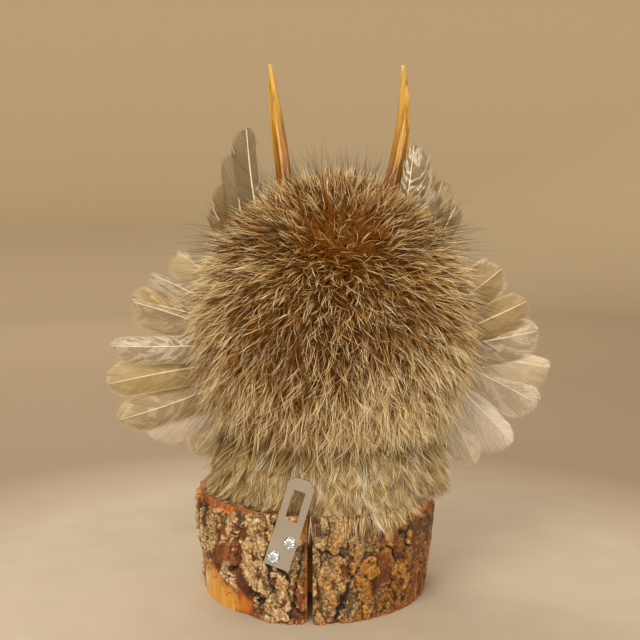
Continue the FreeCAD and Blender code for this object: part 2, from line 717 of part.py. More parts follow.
def eye(side, word):
    """A glass eye with a flat back, its socket, and the wire that holds it in the form."""
    point, facing = form_face(side * size("eye_spread"), size("eye_rise"))
    turn = Rotation(Vector(0, 0, 1), facing)
    back = point - facing * size("eye_socket_depth")
    dome = add("Part::Sphere", f"eye_dome_{word}", Radius="Sizes.eye_radius")
    dome.Angle1 = 0
    bind(dome, Placement__Base__z="Sizes.eye_rim")
    rim = add("Part::Cylinder", f"eye_rim_{word}", Radius="Sizes.eye_radius", Height="Sizes.eye_rim")
    glass = fuse(f"eye_{word}", dome, rim)
    glass.Placement = Placement(back, turn)
    wire = add(
        "Part::Cylinder",
        f"eye_wire_{word}",
        Radius="Sizes.eye_wire_radius",
        Height="Sizes.eye_wire_length",
    )
    wire.Placement = Placement(back - facing * size("eye_wire_length"), turn)
    socket = add(
        "Part::Cylinder",
        f"eye_socket_{word}",
        Radius="Sizes.eye_radius + Sizes.eye_gap",
        Height="Sizes.eye_socket_depth * 4",
    )
    socket.Placement = Placement(back - facing * size("eye_gap"), turn)
    wire_bore = add(
        "Part::Cylinder",
        f"eye_wire_bore_{word}",
        Radius="Sizes.eye_wire_radius + Sizes.eye_gap",
        Height="Sizes.eye_wire_length + Sizes.eye_gap",
    )
    wire_bore.Placement = Placement(back - facing * (size("eye_wire_length") + size("eye_gap")), turn)
    parting = add(
        "Part::Cylinder",
        f"eye_parting_{word}",
        Radius="Sizes.eye_radius + Sizes.fur_gap",
        Height=PARTING_REACH,
    )
    parting.Placement = Placement(back, turn)
    nodes[f"eye_{word}"] = glass
    nodes[f"eye_wire_{word}"] = wire
    return [socket, wire_bore], parting


face_cuts = []
for side, word in ((1, "left"), (-1, "right")):
    bores, parting = eye(side, word)
    form_bores += bores
    face_cuts.append(parting)

beak_point, beak_facing = form_face(0, -size("beak_drop"))
beak_turn = Rotation(Vector(0, 0, 1), Vector(-1, 0, 0), Vector(0, -1, 0), "ZXY")
beak_run = "(Sizes.beak_length + Sizes.beak_seat_depth)"
beak_stations = []
for share, fraction in ((0.0, 1.0), (0.3, 0.92), (0.6, 0.66), (0.85, 0.34)):
    drop = f"-Sizes.beak_hook * {share**2:.3f}"
    beak_stations.append((f"{beak_run} * {share}", drop, "0", f"Sizes.beak_base_radius * {fraction}"))
beak_stations.append((beak_run, "-Sizes.beak_hook", "0", "Sizes.beak_tip_radius"))
beak = loft_of_circles("beak", beak_stations)
beak.Placement = Placement(beak_point + Vector(0, size("beak_seat_depth"), 0), beak_turn)
nodes["beak"] = beak
beak_seat = add(
    "Part::Cylinder",
    "beak_seat",
    Radius="Sizes.beak_base_radius + Sizes.seat_gap",
    Height="Sizes.beak_seat_depth * 4",
)
beak_back = beak.Placement.Base + Vector(0, size("seat_gap"), 0)
beak_seat.Placement = Placement(beak_back, Rotation(Vector(0, 0, 1), Vector(0, -1, 0)))
form_bores.append(beak_seat)
beak_parting = add(
    "Part::Cylinder",
    "beak_parting",
    Radius="Sizes.beak_base_radius + Sizes.fur_gap",
    Height=PARTING_REACH,
)
beak_parting.Placement = beak_seat.Placement
face_cuts.append(beak_parting)

nodes["head_form"] = cut("head_form", form_ellipsoid("head_blank"), *form_bores)

# ---------------------------------------------------------------- pelts
REACH = 240.0
pelt_floor = LOG_TOP + size("collar_height") + 2 * size("seat_gap")
last_layer = max(layer for _, _, layer, *_ in FEATHERS)
band_back = size("ear_layer") + size("back_room")
band_front = size("fan_layer") - last_layer * size("layer_pitch") - size("face_room")
crown = size("horn_spread") - size("horn_base_radius") - size("crown_room")
chin = size("chin_half_width")


def keep_box(label, low, high):
    """A plain block between two corners, which keeps one part of a pelt."""
    box = add("Part::Box", label)
    box.Length = high[0] - low[0]
    box.Width = high[1] - low[1]
    box.Height = high[2] - low[2]
    return place(box, low)


def neck_room(label):
    """The neck block's room inside a pelt."""
    room = add(
        "Part::Cylinder",
        label,
        Radius="Sizes.neck_radius + Sizes.seat_gap",
        Height="Sizes.head_rise",
    )
    return place(room, neck_foot)


fur_ball = add(
    "Part::Ellipsoid",
    "fur_ball",
    Radius1="Sizes.fur_half_height",
    Radius2="Sizes.head_half_width + Sizes.fur_side",
    Radius3="Sizes.head_half_depth + Sizes.fur_back",
)
place(fur_ball, HEAD + Vector(0, 0, size("fur_lift")))
inside = form_ellipsoid("pelt_inside", "Sizes.seat_gap")
left_end = HEAD.x - REACH / 2
right_end = HEAD.x + REACH / 2
strip_back = band_back + 1
chin_top = LOG_TOP + size("chin_rise")
back_keep = fuse(
    "back_keep",
    keep_box("back_half", (left_end, band_back, pelt_floor), (right_end, REACH, REACH * 2)),
    keep_box(
        "crown_strip", (HEAD.x - crown, band_front, HEAD.z), (HEAD.x + crown, strip_back, REACH * 2)
    ),
    keep_box(
        "chin_strip", (HEAD.x - chin, band_front, pelt_floor), (HEAD.x + chin, strip_back, chin_top)
    ),
)
back_shell = cut("back_shell", fur_ball, inside, neck_room("back_neck_room"))
nodes["back_pelt"] = common("back_pelt", back_shell, back_keep)

face_front = band_front - size("seat_gap")
face_keep = keep_box("face_keep", (left_end, -REACH, pelt_floor), (right_end, face_front, REACH * 2))
face_section = common("face_section", form_ellipsoid("face_outside", "Sizes.face_fur"), face_keep)
nodes["face_pelt"] = cut(
    "face_pelt", face_section, inside, neck_room("face_neck_room"), *face_cuts
)

collar_cone = add(
    "Part::Cone",
    "collar_cone",
    Radius1="Sizes.collar_base_radius",
    Radius2="Sizes.collar_top_radius",
    Height="Sizes.collar_height",
)
place(collar_cone, (-size("collar_side"), HEAD.y, LOG_TOP + size("seat_gap")))
collar_saddle = form_ellipsoid("collar_saddle", "Sizes.seat_gap")
nodes["collar_pelt"] = cut(
    "collar_pelt", collar_cone, neck_room("collar_neck_room"), collar_saddle
)

# ---------------------------------------------------------------- check and write
doc.recompute()
for item in doc.Objects:
    if "Invalid" in item.State or "Error" in item.State:
        raise RuntimeError(f"{item.Label} failed to build: {item.State}")
for label, item in nodes.items():
    shape = item.Shape
    if shape.isNull() or not shape.isValid() or not shape.Solids:
        raise RuntimeError(f"{label} has no valid solid")
os.makedirs("parts", exist_ok=True)
for label, item in nodes.items():
    item.Shape.exportStep(os.path.join("parts", label + ".step"))
print(f"wrote {len(nodes)} parts")
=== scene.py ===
import json
import math

import bmesh
import bpy
import numpy as np
from mathutils import Matrix, Vector, noise


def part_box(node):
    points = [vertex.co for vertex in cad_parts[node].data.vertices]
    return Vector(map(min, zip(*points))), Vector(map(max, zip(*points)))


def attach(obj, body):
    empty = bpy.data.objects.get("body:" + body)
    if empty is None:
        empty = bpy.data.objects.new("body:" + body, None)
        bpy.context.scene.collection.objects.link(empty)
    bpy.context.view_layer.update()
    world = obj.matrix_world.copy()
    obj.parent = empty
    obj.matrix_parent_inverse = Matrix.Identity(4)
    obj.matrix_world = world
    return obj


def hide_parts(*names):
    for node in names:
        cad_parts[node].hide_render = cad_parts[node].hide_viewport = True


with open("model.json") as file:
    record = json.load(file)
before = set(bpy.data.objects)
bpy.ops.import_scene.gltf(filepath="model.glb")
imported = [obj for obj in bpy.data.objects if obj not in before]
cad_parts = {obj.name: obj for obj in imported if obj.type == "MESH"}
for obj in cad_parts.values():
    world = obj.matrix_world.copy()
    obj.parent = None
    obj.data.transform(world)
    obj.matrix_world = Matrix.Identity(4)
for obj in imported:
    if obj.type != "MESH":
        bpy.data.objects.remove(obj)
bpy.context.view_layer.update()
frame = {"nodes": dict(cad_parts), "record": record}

nodes = frame["nodes"]
MM = 0.001


# Slice of log. A softwood trunk sawn level top and bottom, dried until it split along one
# radius, then varnished. The growth rings show on both sawn faces.
def paint(red, green, blue):
    """A colour chosen on the usual 0 to 255 scale, as the linear values that shaders take."""
    linear = []
    for channel in (red, green, blue):
        level = channel / 255
        linear.append(level / 12.92 if level <= 0.04045 else ((level + 0.055) / 1.055) ** 2.4)
    return (*linear, 1.0)


def add_node(tree, kind, inputs=None, **settings):
    """A shader node with its settings made and its inputs linked to sockets or set to values."""
    node = tree.nodes.new(kind)
    for name, value in settings.items():
        setattr(node, name, value)
    for socket, value in (inputs or {}).items():
        if isinstance(value, bpy.types.NodeSocket):
            tree.links.new(value, node.inputs[socket])
        else:
            node.inputs[socket].default_value = value
    return node


def maths(tree, operation, first, second=0.0, clamp=False):
    return add_node(
        tree, "ShaderNodeMath", {0: first, 1: second}, operation=operation, use_clamp=clamp
    ).outputs[0]


def add(tree, first, second):
    return maths(tree, "ADD", first, second)


def scaled(tree, value, factor):
    return maths(tree, "MULTIPLY", value, factor)


def length_of(tree, vector):
    return add_node(tree, "ShaderNodeVectorMath", {0: vector}, operation="LENGTH").outputs["Value"]


def blend_colours(tree, factor, first, second, mode="MIX"):
    node = add_node(tree, "ShaderNodeMix", data_type="RGBA", blend_type=mode)
    for socket, value in ((node.inputs[0], factor), (node.inputs[6], first), (node.inputs[7], second)):
        if isinstance(value, bpy.types.NodeSocket):
            tree.links.new(value, socket)
        else:
            socket.default_value = value
    return node.outputs[2]


def ramp(tree, factor, stops, interpolation="LINEAR"):
    """A colour ramp. Each stop is (position, colour), and a plain number is a grey level."""
    node = add_node(tree, "ShaderNodeValToRGB", {0: factor})
    node.color_ramp.interpolation = interpolation
    elements = node.color_ramp.elements
    while len(elements) < len(stops):
        elements.new(0.5)
    for element, (position, colour) in zip(elements, stops):
        element.position = position
        element.color = colour if isinstance(colour, tuple) else (colour, colour, colour, 1.0)
    return node.outputs[0]


def noise_level(tree, vector, scale, detail=2.0, roughness=0.5, distortion=0.0):
    return add_node(
        tree,
        "ShaderNodeTexNoise",
        {"Vector": vector, "Scale": scale, "Detail": detail, "Roughness": roughness,
         "Distortion": distortion},
    ).outputs[0]


def stretched(tree, vector, scale, location=(0, 0, 0)):
    return add_node(
        tree, "ShaderNodeMapping", {"Vector": vector, "Scale": scale, "Location": location}
    ).outputs[0]


def new_material(name, **sockets):
    """A material with one Principled shader, whose even finish is set on its own sockets."""
    material = bpy.data.materials.new(name)
    material.use_nodes = True
    tree = material.node_tree
    tree.nodes.clear()
    shader = add_node(tree, "ShaderNodeBsdfPrincipled", sockets)
    add_node(tree, "ShaderNodeOutputMaterial", {"Surface": shader.outputs[0]})
    return material, tree, shader


def feed(tree, shader, **links):
    for name, socket in links.items():
        tree.links.new(socket, shader.inputs[name.replace("_", " ")])


def bump(tree, height, distance, strength=1.0, normal=None):
    inputs = {"Height": height, "Distance": distance, "Strength": strength}
    if normal is not None:
        inputs["Normal"] = normal
    return add_node(tree, "ShaderNodeBump", inputs).outputs[0]


def object_coordinates(tree):
    return add_node(tree, "ShaderNodeTexCoord").outputs["Object"]


def new_group(name, inputs, outputs):
    """A shader node group with named sockets: (name, socket type) pairs."""
    group = bpy.data.node_groups.new(name, "ShaderNodeTree")
    for label, kind in inputs:
        group.interface.new_socket(name=label, in_out="INPUT", socket_type=kind)
    for label, kind in outputs:
        group.interface.new_socket(name=label, in_out="OUTPUT", socket_type=kind)
    entry = group.nodes.new("NodeGroupInput")
    leave = group.nodes.new("NodeGroupOutput")
    return group, entry, leave


def place_group(tree, group, inputs):
    return add_node(tree, "ShaderNodeGroup", inputs, node_tree=group).outputs


def fibre_group():
    """Long grain: fine streaks drawn out along Z, with a slow change of tone over them."""
    group, entry, leave = new_group(
        "fibre",
        [("Vector", "NodeSocketVector"), ("Across", "NodeSocketFloat"), ("Along", "NodeSocketFloat")],
        [("Streaks", "NodeSocketFloat"), ("Tone", "NodeSocketFloat")],
    )
    place, across, along = entry.outputs[0], entry.outputs[1], entry.outputs[2]
    axes = add_node(group, "ShaderNodeCombineXYZ", {0: across, 1: across, 2: along}).outputs[0]
    drawn = add_node(group, "ShaderNodeVectorMath", {0: place, 1: axes}, operation="MULTIPLY").outputs[0]
    group.links.new(noise_level(group, drawn, 1.0, 5.0, 0.6, 0.4), leave.inputs[0])
    group.links.new(noise_level(group, drawn, 0.17, 2.0), leave.inputs[1])
    return group


FIBRE = fibre_group()


def assign(piece, material):
    piece.data.materials.clear()
    piece.data.materials.append(material)


def log_material():
    ring_gap = 2.6 * MM
    material, tree, shader = new_material(
        "log_wood", **{"Roughness": 0.42, "Coat Weight": 0.35, "Coat Roughness": 0.2}
    )
    place = object_coordinates(tree)
    drift = noise_level(tree, place, 28.0, 3.0)
    parts = add_node(tree, "ShaderNodeSeparateXYZ", {0: place})
    pith = stretched(tree, place, (1.0, 1.0, 0.0), (0.006, 0.009, 0.0))
    radius = length_of(tree, pith)
    wavy = add(tree, scaled(tree, drift, 0.009), radius)
    turns = maths(tree, "FRACT", maths(tree, "DIVIDE", wavy, ring_gap))
    ring = ramp(tree, turns, [(0.0, 0.15), (0.55, 0.3), (0.9, 0.95), (1.0, 0.2)])
    heart = ramp(
        tree, radius,
        [(0.0, paint(126, 78, 40)), (0.03, paint(178, 124, 66)), (0.055, paint(214, 168, 100)),
         (0.068, paint(222, 182, 116))],
    )
    end_grain = blend_colours(tree, ring, heart, paint(150, 92, 42))
    fibre = place_group(tree, FIBRE, {"Vector": place, "Across": 620.0, "Along": 24.0})
    tone = add(tree, scaled(tree, fibre["Tone"], 0.6), scaled(tree, fibre["Streaks"], 0.4))
    sapwood = ramp(
        tree, tone,
        [(0.25, paint(186, 124, 40)), (0.45, paint(218, 158, 54)), (0.6, paint(234, 182, 76)),
         (0.8, paint(244, 208, 122))],
    )
    # the stain that bled down out of the bark, strongest where the bark ends
    stain_level = add(tree, parts.outputs[2], scaled(tree, drift, 0.02))
    stain = ramp(tree, stain_level, [(0.022, 0.0), (0.034, 0.75), (0.044, 1.0)])
    sapwood = blend_colours(tree, stain, sapwood, paint(142, 62, 22))
    # a pale scar where a chip came off the bared wood
    scar_place = stretched(tree, place, (1.0, 1.0, 2.2), (-0.0655, -0.012, -0.019))
    scar_reach = add(tree, length_of(tree, scar_place), scaled(tree, drift, 0.006))
    scar = ramp(tree, scar_reach, [(0.0105, 1.0), (0.0125, 0.0)])
    sapwood = blend_colours(tree, scar, sapwood, paint(250, 226, 170))
    outward = add_node(tree, "ShaderNodeNewGeometry").outputs["Normal"]
    facing = add_node(tree, "ShaderNodeSeparateXYZ", {0: outward})
    flat = ramp(tree, maths(tree, "ABSOLUTE", facing.outputs[2]), [(0.4, 0.0), (0.7, 1.0)])
    colour = blend_colours(tree, flat, sapwood, end_grain)
    height = add(tree, fibre["Streaks"], scaled(tree, ring, 0.4))
    feed(tree, shader, Base_Color=colour, Normal=bump(tree, height, 0.0006, 0.6))
    return material


assign(nodes["log_core"], log_material())


# Bark. Thick, scaly softwood bark, broken at the split and at two old cracks. Narrow fissures
# part it into upright plates, grey and ochre flakes scale off them in steps, and smooth rust-red
# layers show between. It has worn to the inner bark along the top, and come away low on one side.
# noise_vector draws its offsets from the clock unless it is given a seed
noise.seed_set(7)
bark_nodes = ("bark_left", "bark_right", "bark_front")
bark_boxes = [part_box(name) for name in bark_nodes]
log_top = max(high.z for low, high in bark_boxes)
top_radius = max(high.y for low, high in bark_boxes)
top_middle = min(low.x for low, high in bark_boxes) + top_radius
foot_radius = max(high.x for low, high in bark_boxes)
bark_depth = top_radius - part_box("log_core")[1].y
bark_step = 0.6 * MM
bare_turn = math.radians(63)
bare_half_width = 26 * MM
bare_height = 15 * MM


def smooth_step(low, high, value):
    level = min(max((value - low) / (high - low), 0.0), 1.0)
    return level * level * (3 - 2 * level)


def log_rim(turn, height, depth):
    """The point of the log's side at a turn from +Y towards +X, a depth under the bark's face."""
    share = height / log_top
    radius = foot_radius + (top_radius - foot_radius) * share - depth
    return Vector((top_middle * share + radius * math.sin(turn), radius * math.cos(turn), height))


def bareness(turn, height, spot):
    """Below 1 where the bark is gone, then growing with the distance over the bark."""
    across = (turn - bare_turn) * foot_radius / bare_half_width
    rise = height / (bare_height * (1 + 0.35 * min(max(across, -1), 1)))
    tongues = noise.noise(Vector((spot.x * 0.3, spot.y * 0.3, spot.z * 0.06)))
    return (abs(across) ** 3 + rise ** 3) ** (1 / 3) + 0.3 * tongues + 0.1 * noise.noise(spot * 0.6)


def bark_relief(turn, height):
    """How deep the bark's face lies, in metres, and what shows there: open crack, scale, tone of
    the flake, crumb on it, wear at the top edge, and the thin film left where bark came away."""
    spot = log_rim(turn, height, 0) / MM
    side = math.sin(turn)
    # upright plates between the fissures
    plated = smooth_step(0.25, 0.6, -side)
    bend = noise.noise_vector(spot * 0.07) * 3.0 + noise.noise_vector(spot * 0.24) * 1.3
    shiver = noise.noise_vector(spot * 0.6) * 0.9
    plate_place = Vector((spot.x, spot.y, spot.z * 0.32)) + bend * 0.9 + shiver * 0.5
    plate_gap, plate_cells = noise.voronoi(plate_place * 0.075)
    fissure = smooth_step(0.01, 0.08, plate_gap[1] - plate_gap[0])
    plate_tone = noise.cell(plate_cells[0] * 7.3)
    # flakes on the plates, and crumbs on the flakes
    flake_place = Vector((spot.x, spot.y, spot.z * 0.7)) + bend * 0.5 + shiver
    flake_gap, flake_cells = noise.voronoi(flake_place * 0.23)
    flake_edge = smooth_step(0.0, 0.16, flake_gap[1] - flake_gap[0])
    flake_tone = noise.cell(flake_cells[0] * 9.1)
    crumb_gap, crumb_cells = noise.voronoi((spot + shiver) * 0.62)
    crumb = 0.5 + 0.5 * noise.cell(crumb_cells[0] * 5.7) - 0.5 * crumb_gap[0]
    # where scale still covers the rust-red layers: most to the left of the split
    cover = noise.fractal(Vector((spot.x, spot.y, spot.z * 0.45)) * 0.085 + Vector((4, 1, 7)), 1.0, 2.1, 4)
    turned = math.degrees(turn)
    cover += 0.36 * math.exp(-(((turned - 17) / 11) ** 2))
    cover -= 0.24 * math.exp(-(((turned - 42) / 9) ** 2))
    scale = smooth_step(-0.42, -0.34, cover + 0.3 * (flake_tone - 0.5) + 0.1 * plated)
    grit = noise.fractal(spot * 0.8, 0.9, 2.1, 3)
    rough = scale * (1 - 0.5 * plated)
    # depths from here on are in millimetres
    depth = 1.7 + 2.2 * (1 - fissure) - 0.4 * plate_tone
    depth -= scale * 0.5 + rough * (0.9 * flake_tone + 0.55 * flake_edge + 0.36 * crumb)
    depth -= 0.3 * grit * (0.4 + 0.6 * scale) + 0.35 * noise.noise(spot * 0.3)
    # the top rim, worn to the inner bark at both sides
    near_top = log_top / MM - spot.z
    ragged = noise.noise(spot * 0.13) * 4.5 + noise.noise(spot * 0.55) * 2.2
    bared = smooth_step(0.4, 0.8, side) * 5.0 + smooth_step(0.6, 0.85, -side) * 7.0
    wear = smooth_step(-0.6, 0.9, bared + ragged * min(bared / 5.0, 1.0) - near_top) * min(bared, 1.0)
    depth += (bark_depth / MM - 1.4 - depth) * wear * 0.65
    # the broken lip along the split
    lip = (1 - smooth_step(2.2, 5.0, spot.x)) * smooth_step(1.0, 1.6, spot.x)
    lip *= smooth_step(0.5, 0.9, math.cos(turn))
    depth += (bark_depth / MM - 0.8 - depth) * lip
    wear = max(wear, 0.55 * lip)
    # the film left where the bark came away
    film = 1 - smooth_step(1.0, 2.3, bareness(turn, height, spot))
    depth += (bark_depth / MM - 0.4 - depth) * smooth_step(0.0, 0.9, film)
    depth = min(depth, bark_depth / MM - 0.3)
    crack = fissure * (0.4 + 0.6 * max(flake_edge, 1 - scale))
    return depth * MM, crack, scale, 0.7 * flake_tone + 0.3 * plate_tone, crumb, wear, film


def finish_mesh(shape, name, smooth=True):
    """Turns a bmesh into a named object of the scene and frees it."""
    mesh = bpy.data.meshes.new(name)
    shape.to_mesh(mesh)
    shape.free()
    mesh.polygons.foreach_set("use_smooth", [smooth] * len(mesh.polygons))
    piece = bpy.data.objects.new(name, mesh)
    bpy.context.scene.collection.objects.link(piece)
    return piece


def node_points(name):
    mesh = nodes[name].data
    points = np.zeros(len(mesh.vertices) * 3, np.float32)
    mesh.vertices.foreach_get("co", points)
    return points.reshape(-1, 3).astype(float)


def bark_edges(name):
    """The turns of a bark node's two upright edges, at the log's foot and at its top."""
    points = node_points(name)
    turns = np.arctan2(points[:, 0] - top_middle * points[:, 2] / log_top, points[:, 1])
    if name == "bark_front":
        turns = turns % (2 * math.pi)
    ends = (turns[points[:, 2] < 0.5 * MM], turns[points[:, 2] > log_top - 0.5 * MM])
    return [(float(end.min()), float(end.max())) for end in ends]


def bark_mesh(name):
    """A sheet in turn and height, wrapped round the log and sunk by its relief, with its rims
    turned in to the wood and a plain inner wall."""
    (foot_start, foot_end), (top_start, top_end) = bark_edges(name)
    columns = round((foot_end - foot_start) * foot_radius / bark_step)
    rows = round(log_top / bark_step)

    def spread(spot):
        """The turn and height that a point of the unit sheet stands for."""
        across, share = spot.x + 0.5, spot.y + 0.5
        start = foot_start + (top_start - foot_start) * share
        end = foot_end + (top_end - foot_end) * share
        return start + across * (end - start), share * log_top

    sheet = bmesh.new()
    bmesh.ops.create_grid(sheet, x_segments=columns, y_segments=rows, size=0.5)
    gone = []
    for face in sheet.faces:
        turn, height = spread(face.calc_center_median())
        if name == "bark_left" and bareness(turn, height, log_rim(turn, height, 0) / MM) < 1:
            gone.append(face)
    bmesh.ops.delete(sheet, geom=gone, context="FACES")
    labels = ("crack", "scale", "tone", "crumb", "wear", "film", "skin")
    layers = [sheet.verts.layers.float.new(label) for label in labels]
    skin = list(sheet.verts)
    rim = [edge for edge in sheet.edges if edge.is_boundary]
    turned = bmesh.ops.extrude_edge_only(sheet, edges=rim)
    inner = [item for item in turned["geom"] if isinstance(item, bmesh.types.BMVert)]
    walls = {}
    for vert in inner:
        walls.setdefault(round((vert.co.x + 0.5) * columns), []).append(vert)
    for column in range(columns):
        here, beside = (sorted(walls[index], key=lambda vert: vert.co.y) for index in (column, column + 1))
        sheet.faces.new((here[0], here[-1], beside[-1], beside[0]))
    for vert in skin:
        turn, height = spread(vert.co)
        depth, *levels = bark_relief(turn, height)
        for layer, found in zip(layers, (*levels, 1.0)):
            vert[layer] = found
        vert.co = log_rim(turn, height, depth)
    for vert in inner:
        turn, height = spread(vert.co)
        for layer in layers:
            vert[layer] = 0.0
        vert.co = log_rim(turn, height, bark_depth)
    bmesh.ops.recalc_face_normals(sheet, faces=sheet.faces[:])
    return finish_mesh(sheet, name + "_scales")


def settle(piece, material, slot, *replaced):
    """Gives a finished piece its material, and lets it stand for its CAD nodes. The slot is not used."""
    assign(piece, material)
    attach(piece, "root")
    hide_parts(*replaced)
    return piece


def level(tree, name):
    return add_node(tree, "ShaderNodeAttribute", attribute_name=name).outputs["Fac"]


def bark_material():
    material, tree, shader = new_material(
        "bark", **{"Coat Weight": 0.3, "Coat Roughness": 0.18, "Specular IOR Level": 0.3}
    )
    place = object_coordinates(tree)
    parts = add_node(tree, "ShaderNodeSeparateXYZ", {0: place})
    wide = noise_level(tree, stretched(tree, place, (1.0, 1.0, 0.5)), 70.0, 3.0, 0.6)
    fine = noise_level(tree, place, 700.0, 4.0, 0.72)
    flecks = noise_level(tree, place, 1700.0, 2.0, 0.6)
    tone, scale, crumb = level(tree, "tone"), level(tree, "scale"), level(tree, "crumb")
    pieces = add(tree, scaled(tree, tone, 0.13), scaled(tree, crumb, 0.1))
    mottle = add(tree, scaled(tree, fine, 0.68), pieces)
    layered = add(tree, scaled(tree, wide, 0.5), scaled(tree, fine, 0.5))
    grey = ramp(
        tree, mottle,
        [(0.28, paint(84, 62, 36)), (0.36, paint(156, 124, 80)), (0.46, paint(212, 180, 130)),
         (0.57, paint(250, 234, 192))],
    )
    ochre = ramp(
        tree, mottle,
        [(0.3, paint(70, 38, 10)), (0.38, paint(134, 84, 28)), (0.5, paint(182, 128, 50)),
         (0.62, paint(230, 186, 106))],
    )
    rust = ramp(
        tree, layered,
        [(0.34, paint(44, 22, 12)), (0.45, paint(82, 42, 20)), (0.54, paint(120, 62, 26)),
         (0.66, paint(172, 110, 60))],
    )
    side = add(tree, scaled(tree, parts.outputs[0], -9.0), 0.1)
    golden_level = add(tree, side, scaled(tree, add(tree, wide, tone), 0.5))
    golden = ramp(tree, golden_level, [(0.45, 0.0), (0.8, 1.0)])
    face = blend_colours(tree, scale, rust, blend_colours(tree, golden, grey, ochre))
    crack = ramp(tree, level(tree, "crack"), [(0.05, 0.0), (0.3, 0.7), (0.5, 1.0)])
    face = blend_colours(tree, crack, paint(34, 20, 11), face)
    inner = ramp(
        tree, layered,
        [(0.36, paint(88, 40, 16)), (0.46, paint(152, 78, 30)), (0.56, paint(198, 114, 46)),
         (0.66, paint(230, 174, 104))],
    )
    face = blend_colours(tree, ramp(tree, level(tree, "wear"), [(0.3, 0.0), (0.75, 0.9)]), face, inner)
    film = add(tree, level(tree, "film"), scaled(tree, add(tree, wide, -0.5), 0.9))
    stain = ramp(
        tree, film,
        [(0.4, paint(124, 62, 26)), (0.66, paint(176, 92, 34)), (0.85, paint(206, 128, 44)),
         (1.0, paint(226, 162, 70))],
    )
    face = blend_colours(tree, ramp(tree, film, [(0.3, 0.0), (0.62, 1.0)]), face, stain)
    skin = ramp(tree, level(tree, "skin"), [(0.55, 0.0), (0.97, 1.0)])
    foot = ramp(tree, add(tree, parts.outputs[2], scaled(tree, fine, 0.002)), [(0.0018, 0.0), (0.003, 1.0)])
    colour = blend_colours(tree, scaled(tree, skin, foot), inner, face)
    height = add(tree, scaled(tree, fine, 0.7), scaled(tree, flecks, 0.3))
    rough = ramp(tree, flecks, [(0.35, 0.65), (0.65, 0.35)])
    feed(tree, shader, Base_Color=colour, Roughness=rough, Normal=bump(tree, height, 0.0011, 0.9))
    return material


BARK = bark_material()
for bark_name in bark_nodes:
    settle(bark_mesh(bark_name), BARK, "bark", bark_name)


# Hanger strap. A strip of zinc-plated steel with a punched slot and clipped corners, screwed to
# the back of the log and bent back a little at the rim. The plating is faintly brushed.
def plated_steel(name, tint, roughness):
    material, tree, shader = new_material(name, **{"Metallic": 1.0})
    place = object_coordinates(tree)
    brushed = noise_level(tree, stretched(tree, place, (300.0, 300.0, 2600.0)), 1.0, 3.0)
    cloud = noise_level(tree, place, 90.0, 2.0)
    shade = ramp(tree, cloud, [(0.3, tuple(channel * 0.94 for channel in tint[:3]) + (1.0,)), (0.7, tint)])
    rough = ramp(tree, brushed, [(0.3, roughness - 0.04), (0.7, roughness + 0.05)])
    feed(tree, shader, Base_Color=shade, Roughness=rough, Normal=bump(tree, brushed, 0.00001, 0.3))
    return material


def welded_copy(node):
    """A copy of a CAD node's mesh with its loose triangles joined and flat faces made whole."""
    shape = bmesh.new()
    shape.from_mesh(nodes[node].data)
    bmesh.ops.remove_doubles(shape, verts=shape.verts[:], dist=0.00001)
    bmesh.ops.dissolve_limit(
        shape, angle_limit=math.radians(1.0), verts=shape.verts[:], edges=shape.edges[:]
    )
    return shape


def soften_edges(shape, width, steepness=math.radians(35)):
    edges = [edge for edge in shape.edges if edge.is_manifold and edge.calc_face_angle(0) > steepness]
    bmesh.ops.bevel(
        shape, geom=edges, offset=width, offset_type="OFFSET", segments=2, profile=0.5,
        affect="EDGES", clamp_overlap=True, material=-1,
    )


strap = welded_copy("hanger_plate")
soften_edges(strap, 0.32 * MM)
settle(
    finish_mesh(strap, "hanger_strap", smooth=False),
    plated_steel("strap_steel", paint(214, 212, 212), 0.16), "strap_steel", "hanger_plate",
)


# Hanger screws. Pan heads with a cross recess and a ring of fine ribs pressed round it, on shanks
# that hold the strap to the log.
strap_screws = ("hanger_screw_upper", "hanger_screw_lower")
slot_mount = next(mount for mount in frame["record"]["mounts"] if mount["name"] == "hanger_slot")
screw_way = Vector(slot_mount["axis"]).normalized()


def rim_of(circle):
    """The edges of a circle that bmesh has just made, each once and in a fixed order."""
    return list(dict.fromkeys(edge for vert in circle["verts"] for edge in vert.link_edges))


def close_tube(shape, rims):
    """Joins rings of edges into a tube, closes its ends and turns its faces outwards."""
    for lower, upper in zip(rims, rims[1:]):
        bmesh.ops.bridge_loops(shape, edges=[*lower, *upper])
    for rim in (rims[0], rims[-1]):
        bmesh.ops.contextual_create(shape, geom=rim)
    bmesh.ops.recalc_face_normals(shape, faces=shape.faces[:])


